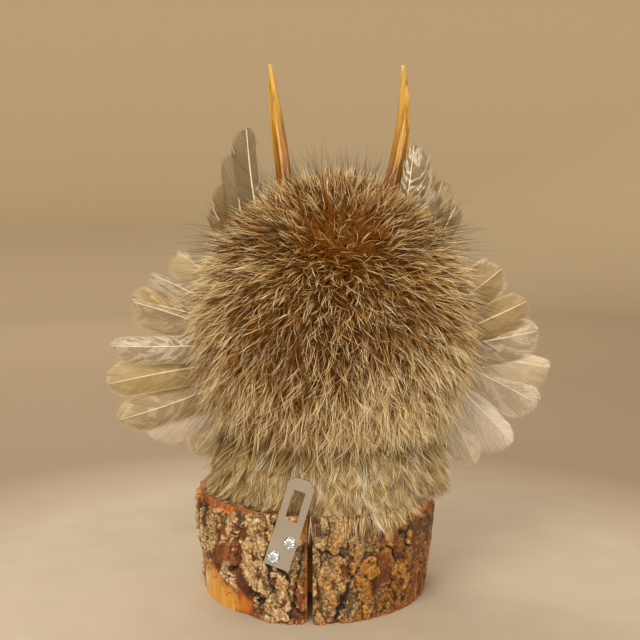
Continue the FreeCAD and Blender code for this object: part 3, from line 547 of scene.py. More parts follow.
def screw_mesh(name):
    """A domed head, ribbed and recessed on its face, closed below and standing on its shank."""
    rings, sides, ribs = 22, 96, 10
    head_height, dome_drop = 2.2 * MM, 0.75 * MM
    recess_depth, recess_inner, recess_outer = 1.3 * MM, 0.3 * MM, 0.55 * MM
    rib_height = 0.16 * MM
    points = node_points(name)
    along = points @ np.array(screw_way)
    head = points[along > along.max() - 2.0 * MM]
    head = head - np.outer(head @ np.array(screw_way), screw_way)
    axis_point = Vector((head.max(0) + head.min(0)) / 2)
    radius = np.linalg.norm(head - np.array(axis_point), axis=1).max()
    crest, foot = along.max(), along.min()
    turn_to = screw_way.to_track_quat("Z", "Y").to_matrix()
    shape = bmesh.new()
    rims = []

    def ring(share_radius, height_of):
        circle = bmesh.ops.create_circle(shape, segments=sides, radius=share_radius)
        for vert in circle["verts"]:
            vert.co.z = height_of(math.atan2(vert.co.y, vert.co.x))
            vert.co = axis_point + turn_to @ vert.co
        rims.append(rim_of(circle))

    def face_height(out):
        """The height of the head's face at a share of its radius, as a function of the turn."""
        within_recess = 1 - smooth_step(0.42, 0.55, out)
        rib_start, rib_end = smooth_step(0.3, 0.5, out), 1 - smooth_step(0.8, 0.92, out)

        def found(turn):
            arm = abs(math.sin(2 * turn)) * out * radius / 2
            recess = recess_depth * (1 - smooth_step(recess_inner, recess_outer, arm)) * within_recess
            rib = rib_height * math.cos(ribs * turn) * rib_start * rib_end
            return crest - dome_drop * out ** 2 - recess + rib

        return found

    ring(0.35 * radius, lambda turn: foot)
    ring(0.35 * radius, lambda turn: crest - head_height)
    ring(0.98 * radius, lambda turn: crest - head_height)
    for index in range(rings):
        out = 1 - index / rings * 0.985
        ring(out * radius, face_height(out))
    close_tube(shape, rims)
    return finish_mesh(shape, name + "_head")


SCREW_STEEL = plated_steel("screw_steel", paint(214, 222, 230), 0.2)
for screw_name in strap_screws:
    settle(screw_mesh(screw_name), SCREW_STEEL, "screw_steel", screw_name)


# Inside. A beech dowel carries the neck block and the head form, which are built up from pulp
# board. Steel pins hold the horns and steel wires the eyes.
def plain_wood(name, pale, dark, across):
    material, tree, shader = new_material(name, **{"Roughness": 0.6})
    fibre = place_group(tree, FIBRE, {"Vector": object_coordinates(tree), "Across": across, "Along": 30.0})
    feed(
        tree, shader,
        Base_Color=ramp(tree, fibre["Streaks"], [(0.35, dark), (0.65, pale)]),
        Normal=bump(tree, fibre["Streaks"], 0.0003, 0.5),
    )
    return material


def pulp_board():
    material, tree, shader = new_material("form_filler", **{"Roughness": 0.9})
    place = object_coordinates(tree)
    clumps = noise_level(tree, place, 210.0, 5.0, 0.7)
    feed(
        tree, shader,
        Base_Color=ramp(tree, clumps, [(0.3, paint(128, 108, 84)), (0.7, paint(186, 166, 136))]),
        Normal=bump(tree, clumps, 0.0008, 0.7),
    )
    return material


assign(nodes["neck_dowel"], plain_wood("dowel_wood", paint(222, 190, 146), paint(190, 150, 104), 520.0))
PULP = pulp_board()
for form_name in ("neck_form", "head_form"):
    assign(nodes[form_name], PULP)
PIN_STEEL = plated_steel("pin_steel", paint(176, 178, 182), 0.28)
for pin_name in ("horn_pin_left", "horn_pin_right", "eye_wire_left", "eye_wire_right"):
    assign(nodes[pin_name], PIN_STEEL)


# Horns. Two antler tines, polished to amber: pale worn points, red-brown roots, and shallow
# flutes that run the whole length. Each follows the middle line of its CAD node.
horn_rings, horn_sides = 64, 40
flute_count, flute_depth = 6, 0.07


def middle_line(points, stations):
    """Middles and radii of a tapering piece in level slabs from its foot to its point."""
    low, high = points[:, 2].min(), points[:, 2].max()
    slab = (high - low) / stations
    heights, middles, radii = [], [], []
    for index in range(stations + 1):
        height = low + slab * index
        near = points[np.abs(points[:, 2] - height) < slab * 0.75]
        if len(near) < 6:
            continue
        box_low, box_high = near[:, :2].min(0), near[:, :2].max(0)
        heights.append(height)
        middles.append((box_low + box_high) / 2)
        radii.append((box_high - box_low)[1] / 2)
    return np.array(heights), np.array(middles), np.array(radii)


def horn_mesh(node, name, seed):
    heights, middles, radii = middle_line(node_points(node), 24)
    fit_x, fit_y = (np.polyfit(heights, middles[:, axis], 3) for axis in (0, 1))
    radii[-1] = min(radii[-1], 0.9 * MM)
    shape = bmesh.new()
    rims = []
    for ring in range(horn_rings + 1):
        share = ring / horn_rings
        height = heights[0] + (heights[-1] - heights[0]) * share
        radius = float(np.interp(height, heights, radii))
        middle = Vector((np.polyval(fit_x, height), np.polyval(fit_y, height), height))
        circle = bmesh.ops.create_circle(shape, segments=horn_sides, radius=radius)
        for vert in circle["verts"]:
            turn = math.atan2(vert.co.y, vert.co.x)
            twist = turn + 0.5 * share + seed
            flute = math.cos(flute_count * twist) * (1 - 0.55 * share)
            knot = noise.noise(Vector((math.cos(turn) * 1.4, math.sin(turn) * 1.4, height * 90 + seed * 9)))
            vert.co *= 1 + flute_depth * flute + 0.07 * knot - 0.02
            vert.co += middle
        rims.append(rim_of(circle))
    close_tube(shape, rims)
    return finish_mesh(shape, name)


def horn_material(name, foot, tip, lean):
    """Amber horn that darkens from the point down, drawn in fine lines along the tine."""
    material, tree, shader = new_material(
        name, **{"Roughness": 0.34, "Coat Weight": 0.4, "Coat Roughness": 0.12,
                 "Subsurface Weight": 0.12, "Subsurface Scale": 0.004}
    )
    place = object_coordinates(tree)
    height = add_node(tree, "ShaderNodeSeparateXYZ", {0: place}).outputs[2]
    share = maths(tree, "DIVIDE", maths(tree, "SUBTRACT", height, foot), tip - foot)
    turned = add_node(
        tree, "ShaderNodeMapping", {"Vector": place, "Rotation": (0.0, lean, 0.0)}
    ).outputs[0]
    fibre = place_group(tree, FIBRE, {"Vector": turned, "Across": 520.0, "Along": 20.0})
    wander = scaled(tree, maths(tree, "SUBTRACT", fibre["Tone"], 0.5), 0.5)
    body = ramp(
        tree, add(tree, share, wander),
        [(0.08, paint(96, 42, 8)), (0.34, paint(140, 82, 10)), (0.62, paint(172, 120, 12)),
         (0.84, paint(190, 148, 28)), (1.0, paint(200, 162, 64))],
    )
    lines = ramp(tree, fibre["Streaks"], [(0.5, 0.0), (0.6, 1.0)])
    body = blend_colours(tree, scaled(tree, lines, 0.55), body, paint(238, 196, 116))
    dark = ramp(tree, fibre["Streaks"], [(0.34, 1.0), (0.46, 0.0)])
    body = blend_colours(tree, scaled(tree, dark, 0.7), body, paint(90, 40, 10))
    feed(tree, shader, Base_Color=body, Normal=bump(tree, fibre["Streaks"], 0.0005, 0.6))
    return material


for horn_name, horn_lean, horn_seed in (("horn_left", 7.6, 0.4), ("horn_right", -12.0, 2.1)):
    horn_low, horn_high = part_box(horn_name)
    settle(
        horn_mesh(horn_name, horn_name + "_tine", horn_seed),
        horn_material(horn_name, horn_low.z, horn_high.z, math.radians(-horn_lean)), "horn", horn_name,
    )


# Feathers. Small wing feathers glued in by their quills: a tapered shaft, and on each side a vane of barbs
# that sweep towards the tip and part here and there.
vane_start = 26 * MM
barbs_per_side = 150
barb_parts = 5
shaft_sides = 6


def feather_frame(name):
    """Foot, direction along, direction across, length, reach on each side, and bend of a feather."""
    points = node_points(name)
    head = np.array([(low + high) / 2 for low, high in zip(*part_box("head_form"))])
    gaps = np.linalg.norm(points[:, [0, 2]] - head[[0, 2]], axis=1)
    foot = points[np.argsort(gaps)[:8]].mean(0)
    away = np.linalg.norm(points - foot, axis=1)
    stem = points[(away > 0.5 * vane_start) & (away < vane_start * 1.02)]
    if len(stem) == 0:
        stem = points[(away > 0.2 * vane_start) & (away < vane_start * 1.2)]
    along = stem.mean(0) - foot
    along[1] = 0
    along /= np.linalg.norm(along)
    across = np.cross(along, (0.0, 1.0, 0.0))
    offsets = points - foot
    reach = offsets @ along
    spread = offsets @ across
    blade = reach > vane_start
    length = reach.max()
    sag = points[reach > length * 0.95][:, 1].mean() - foot[1]
    return foot, along, across, length, (-spread[blade].min(), spread[blade].max()), sag


def strips(name, stations, halves, tones, shares):
    """One mesh of many narrow strips. stations: (strips, points, 3); halves: half widths as
    vectors; the last station is a point. In the map each strip is a column between its two
    tones, and the shares run along it."""
    count, parts = stations.shape[:2]
    left = stations - halves
    right = stations + halves
    body = np.stack([left[:, :-1], right[:, :-1]], 2).reshape(count, -1, 3)
    points = np.concatenate([body, stations[:, -1:]], 1)
    per = 2 * (parts - 1) + 1
    lengths = 2 * np.arange(parts - 2)[:, None] + np.array((0, 1, 3, 2))
    pattern = np.concatenate([lengths.reshape(-1), (per - 3, per - 2, per - 1)])
    corners = (np.arange(count)[:, None] * per + pattern[None]).reshape(-1)
    sizes = np.array([4] * (parts - 2) + [3])
    starts = np.concatenate([[0], np.cumsum(np.tile(sizes, count))[:-1]])
    mesh = bpy.data.meshes.new(name)
    mesh.vertices.add(count * per)
    mesh.vertices.foreach_set("co", points.astype(np.float32).reshape(-1))
    mesh.loops.add(len(corners))
    mesh.loops.foreach_set("vertex_index", corners.astype(np.int32))
    mesh.polygons.add(len(starts))
    mesh.polygons.foreach_set("loop_start", starts.astype(np.int32))
    mesh.update(calc_edges=True)
    sides = np.stack(tones, 1)
    tip = ((tones[0] + tones[1]) / 2)[:, None]
    across = np.concatenate([np.tile(sides, (1, parts - 1)), tip], 1)
    along = np.concatenate([np.repeat(shares[:, :-1], 2, 1), shares[:, -1:]], 1)
    chart = np.stack([across, along], 2).reshape(-1, 2)[corners]
    layer = mesh.uv_layers.new(name="OFBake")
    layer.data.foreach_set("uv", chart.astype(np.float32).reshape(-1))
    mesh.validate()
    piece = bpy.data.objects.new(name, mesh)
    bpy.context.scene.collection.objects.link(piece)
    return piece


def vane_outline(share):
    """Half width of a vane along its blade, as a share of the widest part: broad and rounded."""
    foot = np.clip((share + 0.02) / 0.34, 0, 1) ** 0.55
    tip = np.sqrt(np.clip(1 - (np.clip(share - 0.8, 0, 1) / 0.2) ** 2.4, 0, 1))
    return foot * tip


def feather_group():
    """What lies over a feather: broken pale patches, cross bars, fine barb lines and a fringe."""
    group, entry, leave = new_group(
        "plumage",
        [("Chart", "NodeSocketVector"), ("Seed", "NodeSocketFloat"), ("Patch Size", "NodeSocketFloat")],
        [("Patches", "NodeSocketFloat"), ("Lines", "NodeSocketFloat"), ("Fringe", "NodeSocketFloat"),
         ("Bars", "NodeSocketFloat"), ("Along", "NodeSocketFloat")],
    )
    chart = add_node(group, "ShaderNodeSeparateXYZ", {0: entry.outputs[0]})
    side, along, seed, patch_size = chart.outputs[0], chart.outputs[1], entry.outputs[1], entry.outputs[2]
    centred = add(group, scaled(group, side, 2.0), -1.0)
    edge = maths(group, "ABSOLUTE", centred)
    cell = add_node(
        group, "ShaderNodeCombineXYZ", {0: scaled(group, centred, 0.2), 1: along, 2: seed}
    ).outputs[0]
    sized = add_node(group, "ShaderNodeVectorMath", {0: cell, 3: patch_size}, operation="SCALE").outputs[0]
    blotch = noise_level(group, sized, 1.0, 3.0, 0.62, 0.6)
    patches = ramp(group, blotch, [(0.5, 0.0), (0.57, 1.0)])
    group.links.new(patches, leave.inputs[0])
    drawn = stretched(group, cell, (3.0, 170.0, 1.0))
    group.links.new(noise_level(group, drawn, 1.0, 2.0, 0.6), leave.inputs[1])
    frayed = noise_level(group, stretched(group, cell, (5.0, 40.0, 1.0)), 1.0)
    ragged = add(group, scaled(group, frayed, 0.3), -0.15)
    fringe = ramp(group, add(group, edge, ragged), [(0.78, 0.0), (0.9, 1.0)])
    group.links.new(fringe, leave.inputs[2])
    waves = add(group, scaled(group, along, 7.0), scaled(group, blotch, 2.2))
    bars = ramp(group, maths(group, "FRACT", waves), [(0.3, 0.0), (0.45, 1.0), (0.6, 1.0), (0.75, 0.0)])
    group.links.new(bars, leave.inputs[3])
    group.links.new(along, leave.inputs[4])
    return group


PLUMAGE = feather_group()


def feather_material(name, seed, ground, foot, pale, patches, fringe, bars):
    """Barb keratin: a ground tone with pale patches, bars and fringe, each by its own amount."""
    material, tree, shader = new_material(
        name, **{"Roughness": 0.62, "Sheen Weight": 0.25, "Sheen Roughness": 0.4}
    )
    chart = add_node(tree, "ShaderNodeUVMap", uv_map="OFBake").outputs[0]
    look = place_group(tree, PLUMAGE, {"Chart": chart, "Seed": seed, "Patch Size": 9.0})
    base = blend_colours(tree, ramp(tree, look["Along"], [(0.15, 0.0), (0.75, 1.0)]), foot, ground)
    marks = maths(tree, "MAXIMUM", scaled(tree, look["Patches"], patches), scaled(tree, look["Bars"], bars))
    marks = maths(tree, "MAXIMUM", marks, scaled(tree, look["Fringe"], fringe))
    body = blend_colours(tree, marks, base, pale)
    lines = ramp(tree, look["Lines"], [(0.3, 0.8), (0.5, 1.0), (0.7, 1.1)])
    body = blend_colours(tree, 1.0, body, lines, "MULTIPLY")
    feed(tree, shader, Base_Color=body)
    return material


def shaft_material():
    material, tree, shader = new_material("feather_shaft", **{"Coat Weight": 0.3, "Coat Roughness": 0.3})
    place = object_coordinates(tree)
    cloud = noise_level(tree, place, 240.0, 2.0)
    rough = ramp(tree, cloud, [(0.3, 0.32), (0.7, 0.5)])
    ivory = ramp(tree, cloud, [(0.3, paint(228, 210, 172)), (0.7, paint(252, 244, 222))])
    feed(tree, shader, Base_Color=ivory, Roughness=rough)
    return material


SHAFT = shaft_material()


def feather_mesh(node, name, rng, bow, camber, ruffle, widths):
    """The two vanes of one feather, laid where its CAD node lies, and the line of its shaft. The
    shaft bows sideways, the barbs droop by the camber, and ruffle is how often they part."""
    foot, along, across, length, (reach_low, reach_high), sag = feather_frame(node)
    blade = length - vane_start

    def shaft_point(reach):
        share = np.clip(reach / length, 0, 1)
        bend_start = 0.4 * vane_start
        swing = bow * np.sin(np.pi * np.clip((reach - bend_start) / (length - bend_start), 0, 1))
        return (
            foot + np.multiply.outer(reach, along) + np.multiply.outer(swing, across)
            + np.multiply.outer(sag * share ** 2, np.array((0.0, 1.0, 0.0)))
        )

    stations, halves, lows, highs, shares = [], [], [], [], []
    face = np.array((0.0, 1.0, 0.0))
    steps = np.linspace(0, 1, barb_parts + 1)
    for side, width in ((-1, reach_low * widths[0]), (1, reach_high * widths[1])):
        walk = np.linspace(0, 1, 400)
        rim = np.stack([walk * blade, width * vane_outline(walk)], 1)
        trail = np.concatenate([[0], np.cumsum(np.linalg.norm(np.diff(rim, axis=0), axis=1))])
        # barb tips are spread evenly along the rim, and each barb slants back to the shaft
        marks = (np.arange(barbs_per_side) + 0.5) / barbs_per_side
        tips = np.interp(marks * trail[-1], trail, walk)
        outlines = width * vane_outline(tips)
        slants = np.radians(44 - 20 * tips)
        roots = np.maximum(tips - outlines / np.tan(slants) / blade, 0.04 * tips)
        root_gaps = np.gradient(roots) * blade
        tip_gap = trail[-1] / barbs_per_side
        lag, stray = 0.0, 0.0
        for index, (mark, tip, root, outline) in enumerate(zip(marks, tips, roots, outlines)):
            # where the vane parts, the barbs after the gap lie a little apart from those before
            if rng.random() < ruffle:
                lag, stray = rng.normal(0, 0.7 * MM), rng.normal(0, 0.5 * MM)
            outline = max(outline + stray + rng.normal(0, 0.1 * MM), 0.1 * MM)
            root_at = vane_start + blade * root
            tip_at = min(vane_start + blade * tip + lag, length * 0.999)
            run = root_at + (tip_at - root_at) * (0.6 * steps + 0.4 * steps ** 2)
            out = outline * (1.45 * steps - 0.45 * steps ** 2.2)
            dip = camber * (out / (12 * MM)) ** 2 + 0.12 * MM * math.sin(index * 1.7) * steps
            line = shaft_point(run) + np.multiply.outer(side * out, across)
            stations.append(line - np.multiply.outer(dip, face))
            root_half = 0.5 * root_gaps[index] * math.sin(slants[index]) + 0.1 * MM
            half = np.interp(steps, [0, 0.75, 1], [root_half, 0.5 * tip_gap * 0.95, 0.25 * tip_gap])
            way = along * 0.7 - across * side * 0.55 + face * 0.16
            halves.append(np.multiply.outer(half, way / np.linalg.norm(way)))
            lows.append(mark - 0.55 / barbs_per_side)
            highs.append(mark + 0.55 / barbs_per_side)
            shares.append(0.5 + side * 0.49 * steps)
    tones = (np.array(lows) * 0.98 + 0.01, np.array(highs) * 0.98 + 0.01)
    piece = strips(name, np.array(stations), np.array(halves), tones, np.array(shares))
    # a feather's map runs along its shaft, so the two axes change places
    chart = np.zeros(len(piece.data.loops) * 2, np.float32)
    layer = piece.data.uv_layers["OFBake"].data
    layer.foreach_get("uv", chart)
    layer.foreach_set("uv", chart.reshape(-1, 2)[:, ::-1].reshape(-1))
    return piece, shaft_point, length


def shaft_mesh(name, shaft_point, length):
    """A tapering shaft, round and ridged, from the quill's end to just short of the tip."""
    shape = bmesh.new()
    reaches = np.linspace(0, length * 0.985, 26)
    middles = shaft_point(reaches)
    rims = []
    for index, (reach, middle) in enumerate(zip(reaches, middles)):
        near = middles[min(index + 1, len(middles) - 1)] - middles[max(index - 1, 0)]
        turn = Vector(near).to_track_quat("Z", "Y").to_matrix().to_4x4()
        radius = (0.95 - 0.75 * reach / length) * MM
        circle = bmesh.ops.create_circle(
            shape, segments=shaft_sides, radius=radius, matrix=Matrix.Translation(Vector(middle)) @ turn
        )
        rims.append(rim_of(circle))
    close_tube(shape, rims)
    return finish_mesh(shape, name)


OLIVE, SMOKE, SAND = paint(160, 134, 86), paint(170, 152, 124), paint(188, 166, 120)
CREAM, WHITE, EARTH = paint(228, 210, 170), paint(240, 232, 216), paint(108, 82, 48)
DUSK, MOSS = paint(122, 104, 72), paint(128, 104, 62)
# name: bow, ground, foot, pale, patches, fringe, bars
feather_looks = {
    "ear_feather_left_1": (-1.5, DUSK, DUSK, EARTH, 0.1, 0.5, 0.0),
    "ear_feather_left_2": (-1.0, paint(136, 116, 82), MOSS, EARTH, 0.05, 0.7, 0.0),
    "ear_feather_left_3": (1.0, MOSS, MOSS, EARTH, 0.1, 0.5, 0.0),
    "ear_feather_left_4": (1.5, MOSS, MOSS, CREAM, 0.15, 0.2, 0.0),
    "ear_feather_right_1": (1.0, MOSS, MOSS, WHITE, 0.1, 0.15, 0.75),
    "ear_feather_right_2": (-1.0, MOSS, MOSS, WHITE, 0.4, 0.15, 0.2),
    "ear_feather_right_3": (-1.5, MOSS, MOSS, CREAM, 0.4, 0.2, 0.2),
    "ear_feather_right_4": (-1.5, MOSS, MOSS, CREAM, 0.3, 0.2, 0.2),
    "fan_feather_left_1": (1.5, paint(204, 186, 146), OLIVE, CREAM, 0.3, 0.8, 0.0),
    "fan_feather_left_2": (2.0, SMOKE, OLIVE, WHITE, 0.45, 0.4, 0.1),
    "fan_feather_left_3": (1.5, SMOKE, OLIVE, CREAM, 0.4, 0.6, 0.1),
    "fan_feather_left_4": (1.0, OLIVE, EARTH, CREAM, 0.5, 0.6, 0.3),
    "fan_feather_left_5": (-1.0, SMOKE, OLIVE, WHITE, 0.6, 0.4, 0.4),
    "fan_feather_left_6": (1.5, paint(178, 156, 106), OLIVE, CREAM, 0.25, 0.9, 0.0),
    "fan_feather_left_7": (-2.0, paint(164, 146, 112), OLIVE, CREAM, 0.45, 0.8, 0.1),
    "fan_feather_left_8": (-1.0, paint(222, 206, 188), SMOKE, WHITE, 0.4, 0.8, 0.0),
    "fan_feather_left_9": (-1.5, paint(170, 152, 112), OLIVE, CREAM, 0.4, 0.6, 0.0),
    "fan_feather_right_1": (1.0, OLIVE, OLIVE, CREAM, 0.15, 1.0, 0.0),
    "fan_feather_right_2": (1.5, OLIVE, EARTH, CREAM, 0.2, 0.6, 0.0),
    "fan_feather_right_3": (1.0, SMOKE, OLIVE, WHITE, 0.15, 1.0, 0.45),
    "fan_feather_right_4": (1.0, paint(208, 192, 164), SAND, WHITE, 0.3, 0.5, 0.0),
    "fan_feather_right_5": (-1.5, paint(186, 172, 150), SMOKE, WHITE, 0.4, 1.0, 0.3),
    "fan_feather_right_6": (-1.0, paint(222, 212, 198), SMOKE, WHITE, 0.6, 0.8, 0.2),
    "fan_feather_right_7": (-1.5, paint(206, 192, 168), SMOKE, WHITE, 0.5, 0.6, 0.1),
}
# shares of the CAD blade's reach to each side of the shaft, where they aren't both 1
vane_shares = {
    "ear_feather_left_1": (1.25, 0.8), "ear_feather_left_2": (1.3, 1.2), "ear_feather_left_3": (1.3, 1.1),
    "ear_feather_right_1": (0.8, 1.3), "ear_feather_right_2": (1.2, 1.3), "ear_feather_right_3": (1.2, 1.2),
    "fan_feather_left_1": (1.3, 0.4), "fan_feather_left_2": (1.3, 0.4),
    "fan_feather_left_3": (1.15, 0.35), "fan_feather_left_5": (1.25, 0.7), "fan_feather_left_6": (1.1, 1.1),
    "fan_feather_left_7": (1.1, 1.1), "fan_feather_left_8": (1.3, 1.2), "fan_feather_left_9": (1.3, 1.3),
    "fan_feather_right_1": (1.2, 1.2), "fan_feather_right_2": (1.1, 1.3), "fan_feather_right_3": (1.1, 1.3),
    "fan_feather_right_4": (0.5, 1.5), "fan_feather_right_5": (1.2, 1.3),
    "fan_feather_right_6": (0.8, 1.5), "fan_feather_right_7": (1.2, 1.4),
}
feather_rng = np.random.default_rng(11)
for number, (feather_name, look) in enumerate(feather_looks.items()):
    bow, ground, foot_tone, pale, patches, fringe, bars = look
    slot_name = feather_name.split("_")[0] + "_feather"
    vane, shaft_line, feather_length = feather_mesh(
        feather_name, feather_name + "_vane", feather_rng, bow * MM, 2.2 * MM, 0.045,
        vane_shares.get(feather_name, (1, 1)),
    )
    settle(
        vane, feather_material(feather_name, number * 3.7, ground, foot_tone, pale, patches, fringe, bars),
        slot_name, feather_name,
    )
    settle(shaft_mesh(feather_name + "_shaft", shaft_line, feather_length), SHAFT, slot_name)


# Long pelt. Real fur on a thin skin, glued over the head form. Coarse hair grows out from a whorl
# high on the back of the head: a brown undercoat, lighter locks over it, and dark guard hairs
# that stand up out of the crown.
hair_points = 5
fur_rng = np.random.default_rng(4)
head_low, head_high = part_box("head_form")
head_middle = np.array((head_low + head_high) / 2)
skin_radii = np.array(((head_high.x - head_low.x) / 2 + 5 * MM, (head_high.y - head_low.y) / 2 + 4 * MM,
                       (head_high.z - head_low.z) / 2 + 4 * MM))


def unit(vectors):
    return vectors / np.maximum(np.linalg.norm(vectors, axis=-1, keepdims=True), 1e-9)


def on_skin(directions):
    """Points and outward normals of the head's skin in given directions from its middle."""
    reach = 1 / np.sqrt(((directions / skin_radii) ** 2).sum(1))
    points = head_middle + directions * reach[:, None]
    return points, unit((points - head_middle) / skin_radii ** 2)


def flow_from(points, normals, source, down):
    """Unit directions along the skin, away from a source, turned downwards by a share each."""
    away = points - source
    away = unit(away - (away * normals).sum(1, keepdims=True) * normals)
    fall = np.array((0.0, 0.0, -1.0)) + np.zeros_like(points)
    fall = fall - (fall * normals).sum(1, keepdims=True) * normals
    return unit(away * (1 - down[:, None]) + fall * down[:, None])


def grow(name, hair, rng, clump):
    """Hair strips. Each hair leaves the skin leaning by its foot angle from the normal, ends at its
    tip angle, bends with its tuft, and draws towards the tuft's tip by the clump share."""
    normals, flow = hair["normal"], hair["flow"]
    count = len(normals)
    sideways = unit(np.cross(normals, flow))
    sway = hair["sway"] + rng.normal(0, 0.08, count)
    curl = (hair["curl"] + rng.normal(0, 0.1, count))[:, None]
    flow = flow * np.cos(sway)[:, None] + sideways * np.sin(sway)[:, None]
    sideways = unit(np.cross(normals, flow))
    steps = np.linspace(0, 1, hair_points)
    stations = np.empty((count, hair_points, 3))
    stations[:, 0] = hair["root"]
    place = hair["root"].copy()
    for index in range(1, hair_points):
        share = (index - 0.5) / (hair_points - 1)
        lean = (hair["foot_lean"] + (hair["tip_lean"] - hair["foot_lean"]) * share)[:, None]
        way = normals * np.cos(lean) + (flow + sideways * curl * (2 * share - 0.6)) * np.sin(lean)
        place = place + unit(way) * (hair["length"] / (hair_points - 1))[:, None]
        stations[:, index] = place
    tuft = hair["tuft"]
    tufts = tuft.max() + 1
    total = np.bincount(tuft, minlength=tufts)[tuft][:, None]
    sums = [np.bincount(tuft, stations[:, -1, axis], tufts)[tuft] for axis in range(3)]
    middle = np.stack(sums, 1) / total
    stations += (middle[:, None, :] - stations[:, -1:, :]) * (steps ** 1.5)[None, :, None] * clump
    turn = rng.normal(0, 0.6, count)[:, None]
    flat = sideways * np.cos(turn) + normals * np.sin(turn)
    thickness = hair["width"][:, None] * np.interp(steps, [0, 0.5, 1], [0.8, 1.0, 0.3])[None]
    low = hair["tone"] * 0.996 + 0.002
    return strips(
        name, stations, thickness[:, :, None] * flat[:, None, :], (low - 0.0015, low + 0.0015),
        np.tile(steps, (count, 1)),
    )


def hair_group():
    """One kind of hair: its colour from root through middle to tip, a little mottled."""
    group, entry, leave = new_group(
        "hair_colour",
        [("Along", "NodeSocketFloat"), ("Shade", "NodeSocketFloat"), ("Root", "NodeSocketColor"),
         ("Middle", "NodeSocketColor"), ("Tip", "NodeSocketColor")],
        [("Colour", "NodeSocketColor")],
    )
    lower = ramp(group, entry.outputs[0], [(0.05, 0.0), (0.5, 1.0)])
    upper = ramp(group, entry.outputs[0], [(0.5, 0.0), (0.86, 1.0)])
    body = blend_colours(group, lower, entry.outputs[2], entry.outputs[3])
    body = blend_colours(group, upper, body, entry.outputs[4])
    light = ramp(group, entry.outputs[1], [(0.0, 0.72), (1.0, 1.22)])
    group.links.new(blend_colours(group, 1.0, body, light, "MULTIPLY"), leave.inputs[0])
    return group


HAIR = hair_group()


def fur_material(name, kinds):
    """Fur of several kinds of hair. The map's first axis picks the kind and its shade, the
    second runs from root to tip."""
    material, tree, shader = new_material(
        name, **{"Roughness": 0.6, "Specular IOR Level": 0.1}
    )
    chart = add_node(tree, "ShaderNodeUVMap", uv_map="OFBake").outputs[0]
    parts = add_node(tree, "ShaderNodeSeparateXYZ", {0: chart})
    spread = scaled(tree, parts.outputs[0], float(len(kinds)))
    shade = maths(tree, "FRACT", spread)
    colour = None
    for index, (root, middle, tip) in enumerate(kinds):
        hair = place_group(
            tree, HAIR,
            {"Along": parts.outputs[1], "Shade": shade, "Root": root, "Middle": middle, "Tip": tip},
        )["Colour"]
        if colour is None:
            colour = hair
        else:
            chosen = maths(tree, "GREATER_THAN", spread, float(index))
            colour = blend_colours(tree, chosen, colour, hair)
    feed(tree, shader, Base_Color=colour)
    return material


def skin_material(name, dark, pale, scale):
    """Dense, felted underfur as it shows between the tufts."""
    material, tree, shader = new_material(name, **{"Roughness": 0.85, "Specular IOR Level": 0.2})
    place = object_coordinates(tree)
    tufts = noise_level(tree, place, scale, 4.0, 0.7)
    feed(
        tree, shader, Base_Color=ramp(tree, tufts, [(0.35, dark), (0.65, pale)]),
        Normal=bump(tree, tufts, 0.0015, 0.8),
    )
    return material


LONG_KINDS = (
    (paint(40, 21, 7), paint(70, 41, 14), paint(90, 56, 21)),
    (paint(84, 44, 5), paint(116, 66, 9), paint(136, 84, 16)),
    (paint(56, 27, 8), paint(104, 57, 18), paint(140, 88, 36)),
    (paint(48, 26, 8), paint(112, 74, 26), paint(230, 192, 124)),
    (paint(80, 54, 20), paint(186, 150, 88), paint(254, 240, 200)),
    (paint(32, 20, 12), paint(48, 34, 22), paint(60, 44, 30)),
)
LONG_FUR = fur_material("long_fur", LONG_KINDS)
whorl_way = np.array((-0.06, 0.66, 0.75))
face_edge = -26.0


def pick_kinds(rng, weights):
    """One kind a row, drawn by that row's weights."""
    share = np.cumsum(weights, axis=1)
    draw = rng.random(len(weights))[:, None] * share[:, -1:]
    return (draw > share).sum(1)


def mixed_kinds(rng, weights, tuft, mix):
    """Kinds of hair, drawn a tuft at a time, with a share of the hairs drawn one by one."""
    alone = rng.random(len(tuft)) < mix
    return np.where(alone, pick_kinds(rng, weights[tuft]), pick_kinds(rng, weights)[tuft])


def kind_tone(kind, shade, kinds):
    """The place of a kind and its shade on the first axis of the fur's map."""
    return (kind + 0.04 + 0.92 * shade) / kinds


def head_lie(points, normals):
    """How the long fur lies at points of the skin, before each tuft's own turn."""
    offset = (points - head_middle) / MM
    whorl = on_skin(unit(whorl_way)[None])[0]
    reach = np.linalg.norm(points - whorl, axis=1) / MM
    front = np.clip((-4 - offset[:, 1]) / 22, 0, 1)
    length = np.interp(reach, [0, 14, 30, 60, 90, 120], [9, 12, 21, 27, 31, 36]) * (1 - 0.45 * front)
    crown = np.clip((offset[:, 2] - 50) / 20, 0, 1)
    fall = np.interp(offset[:, 2], [-70, 10, 44, 60], [0.6, 0.45, 0.22, 0])
    return {
        "root": points, "normal": normals, "reach": reach, "offset": offset, "length": length * MM,
        "foot_lean": np.radians(np.interp(reach, [0, 15, 40, 90], [52, 38, 33, 42])),
        "tip_lean": np.radians(np.interp(reach, [0, 15, 40, 90], [80, 62, 57, 64])) - 0.25 * crown,
        "flow": flow_from(points, normals, whorl, fall),
    }


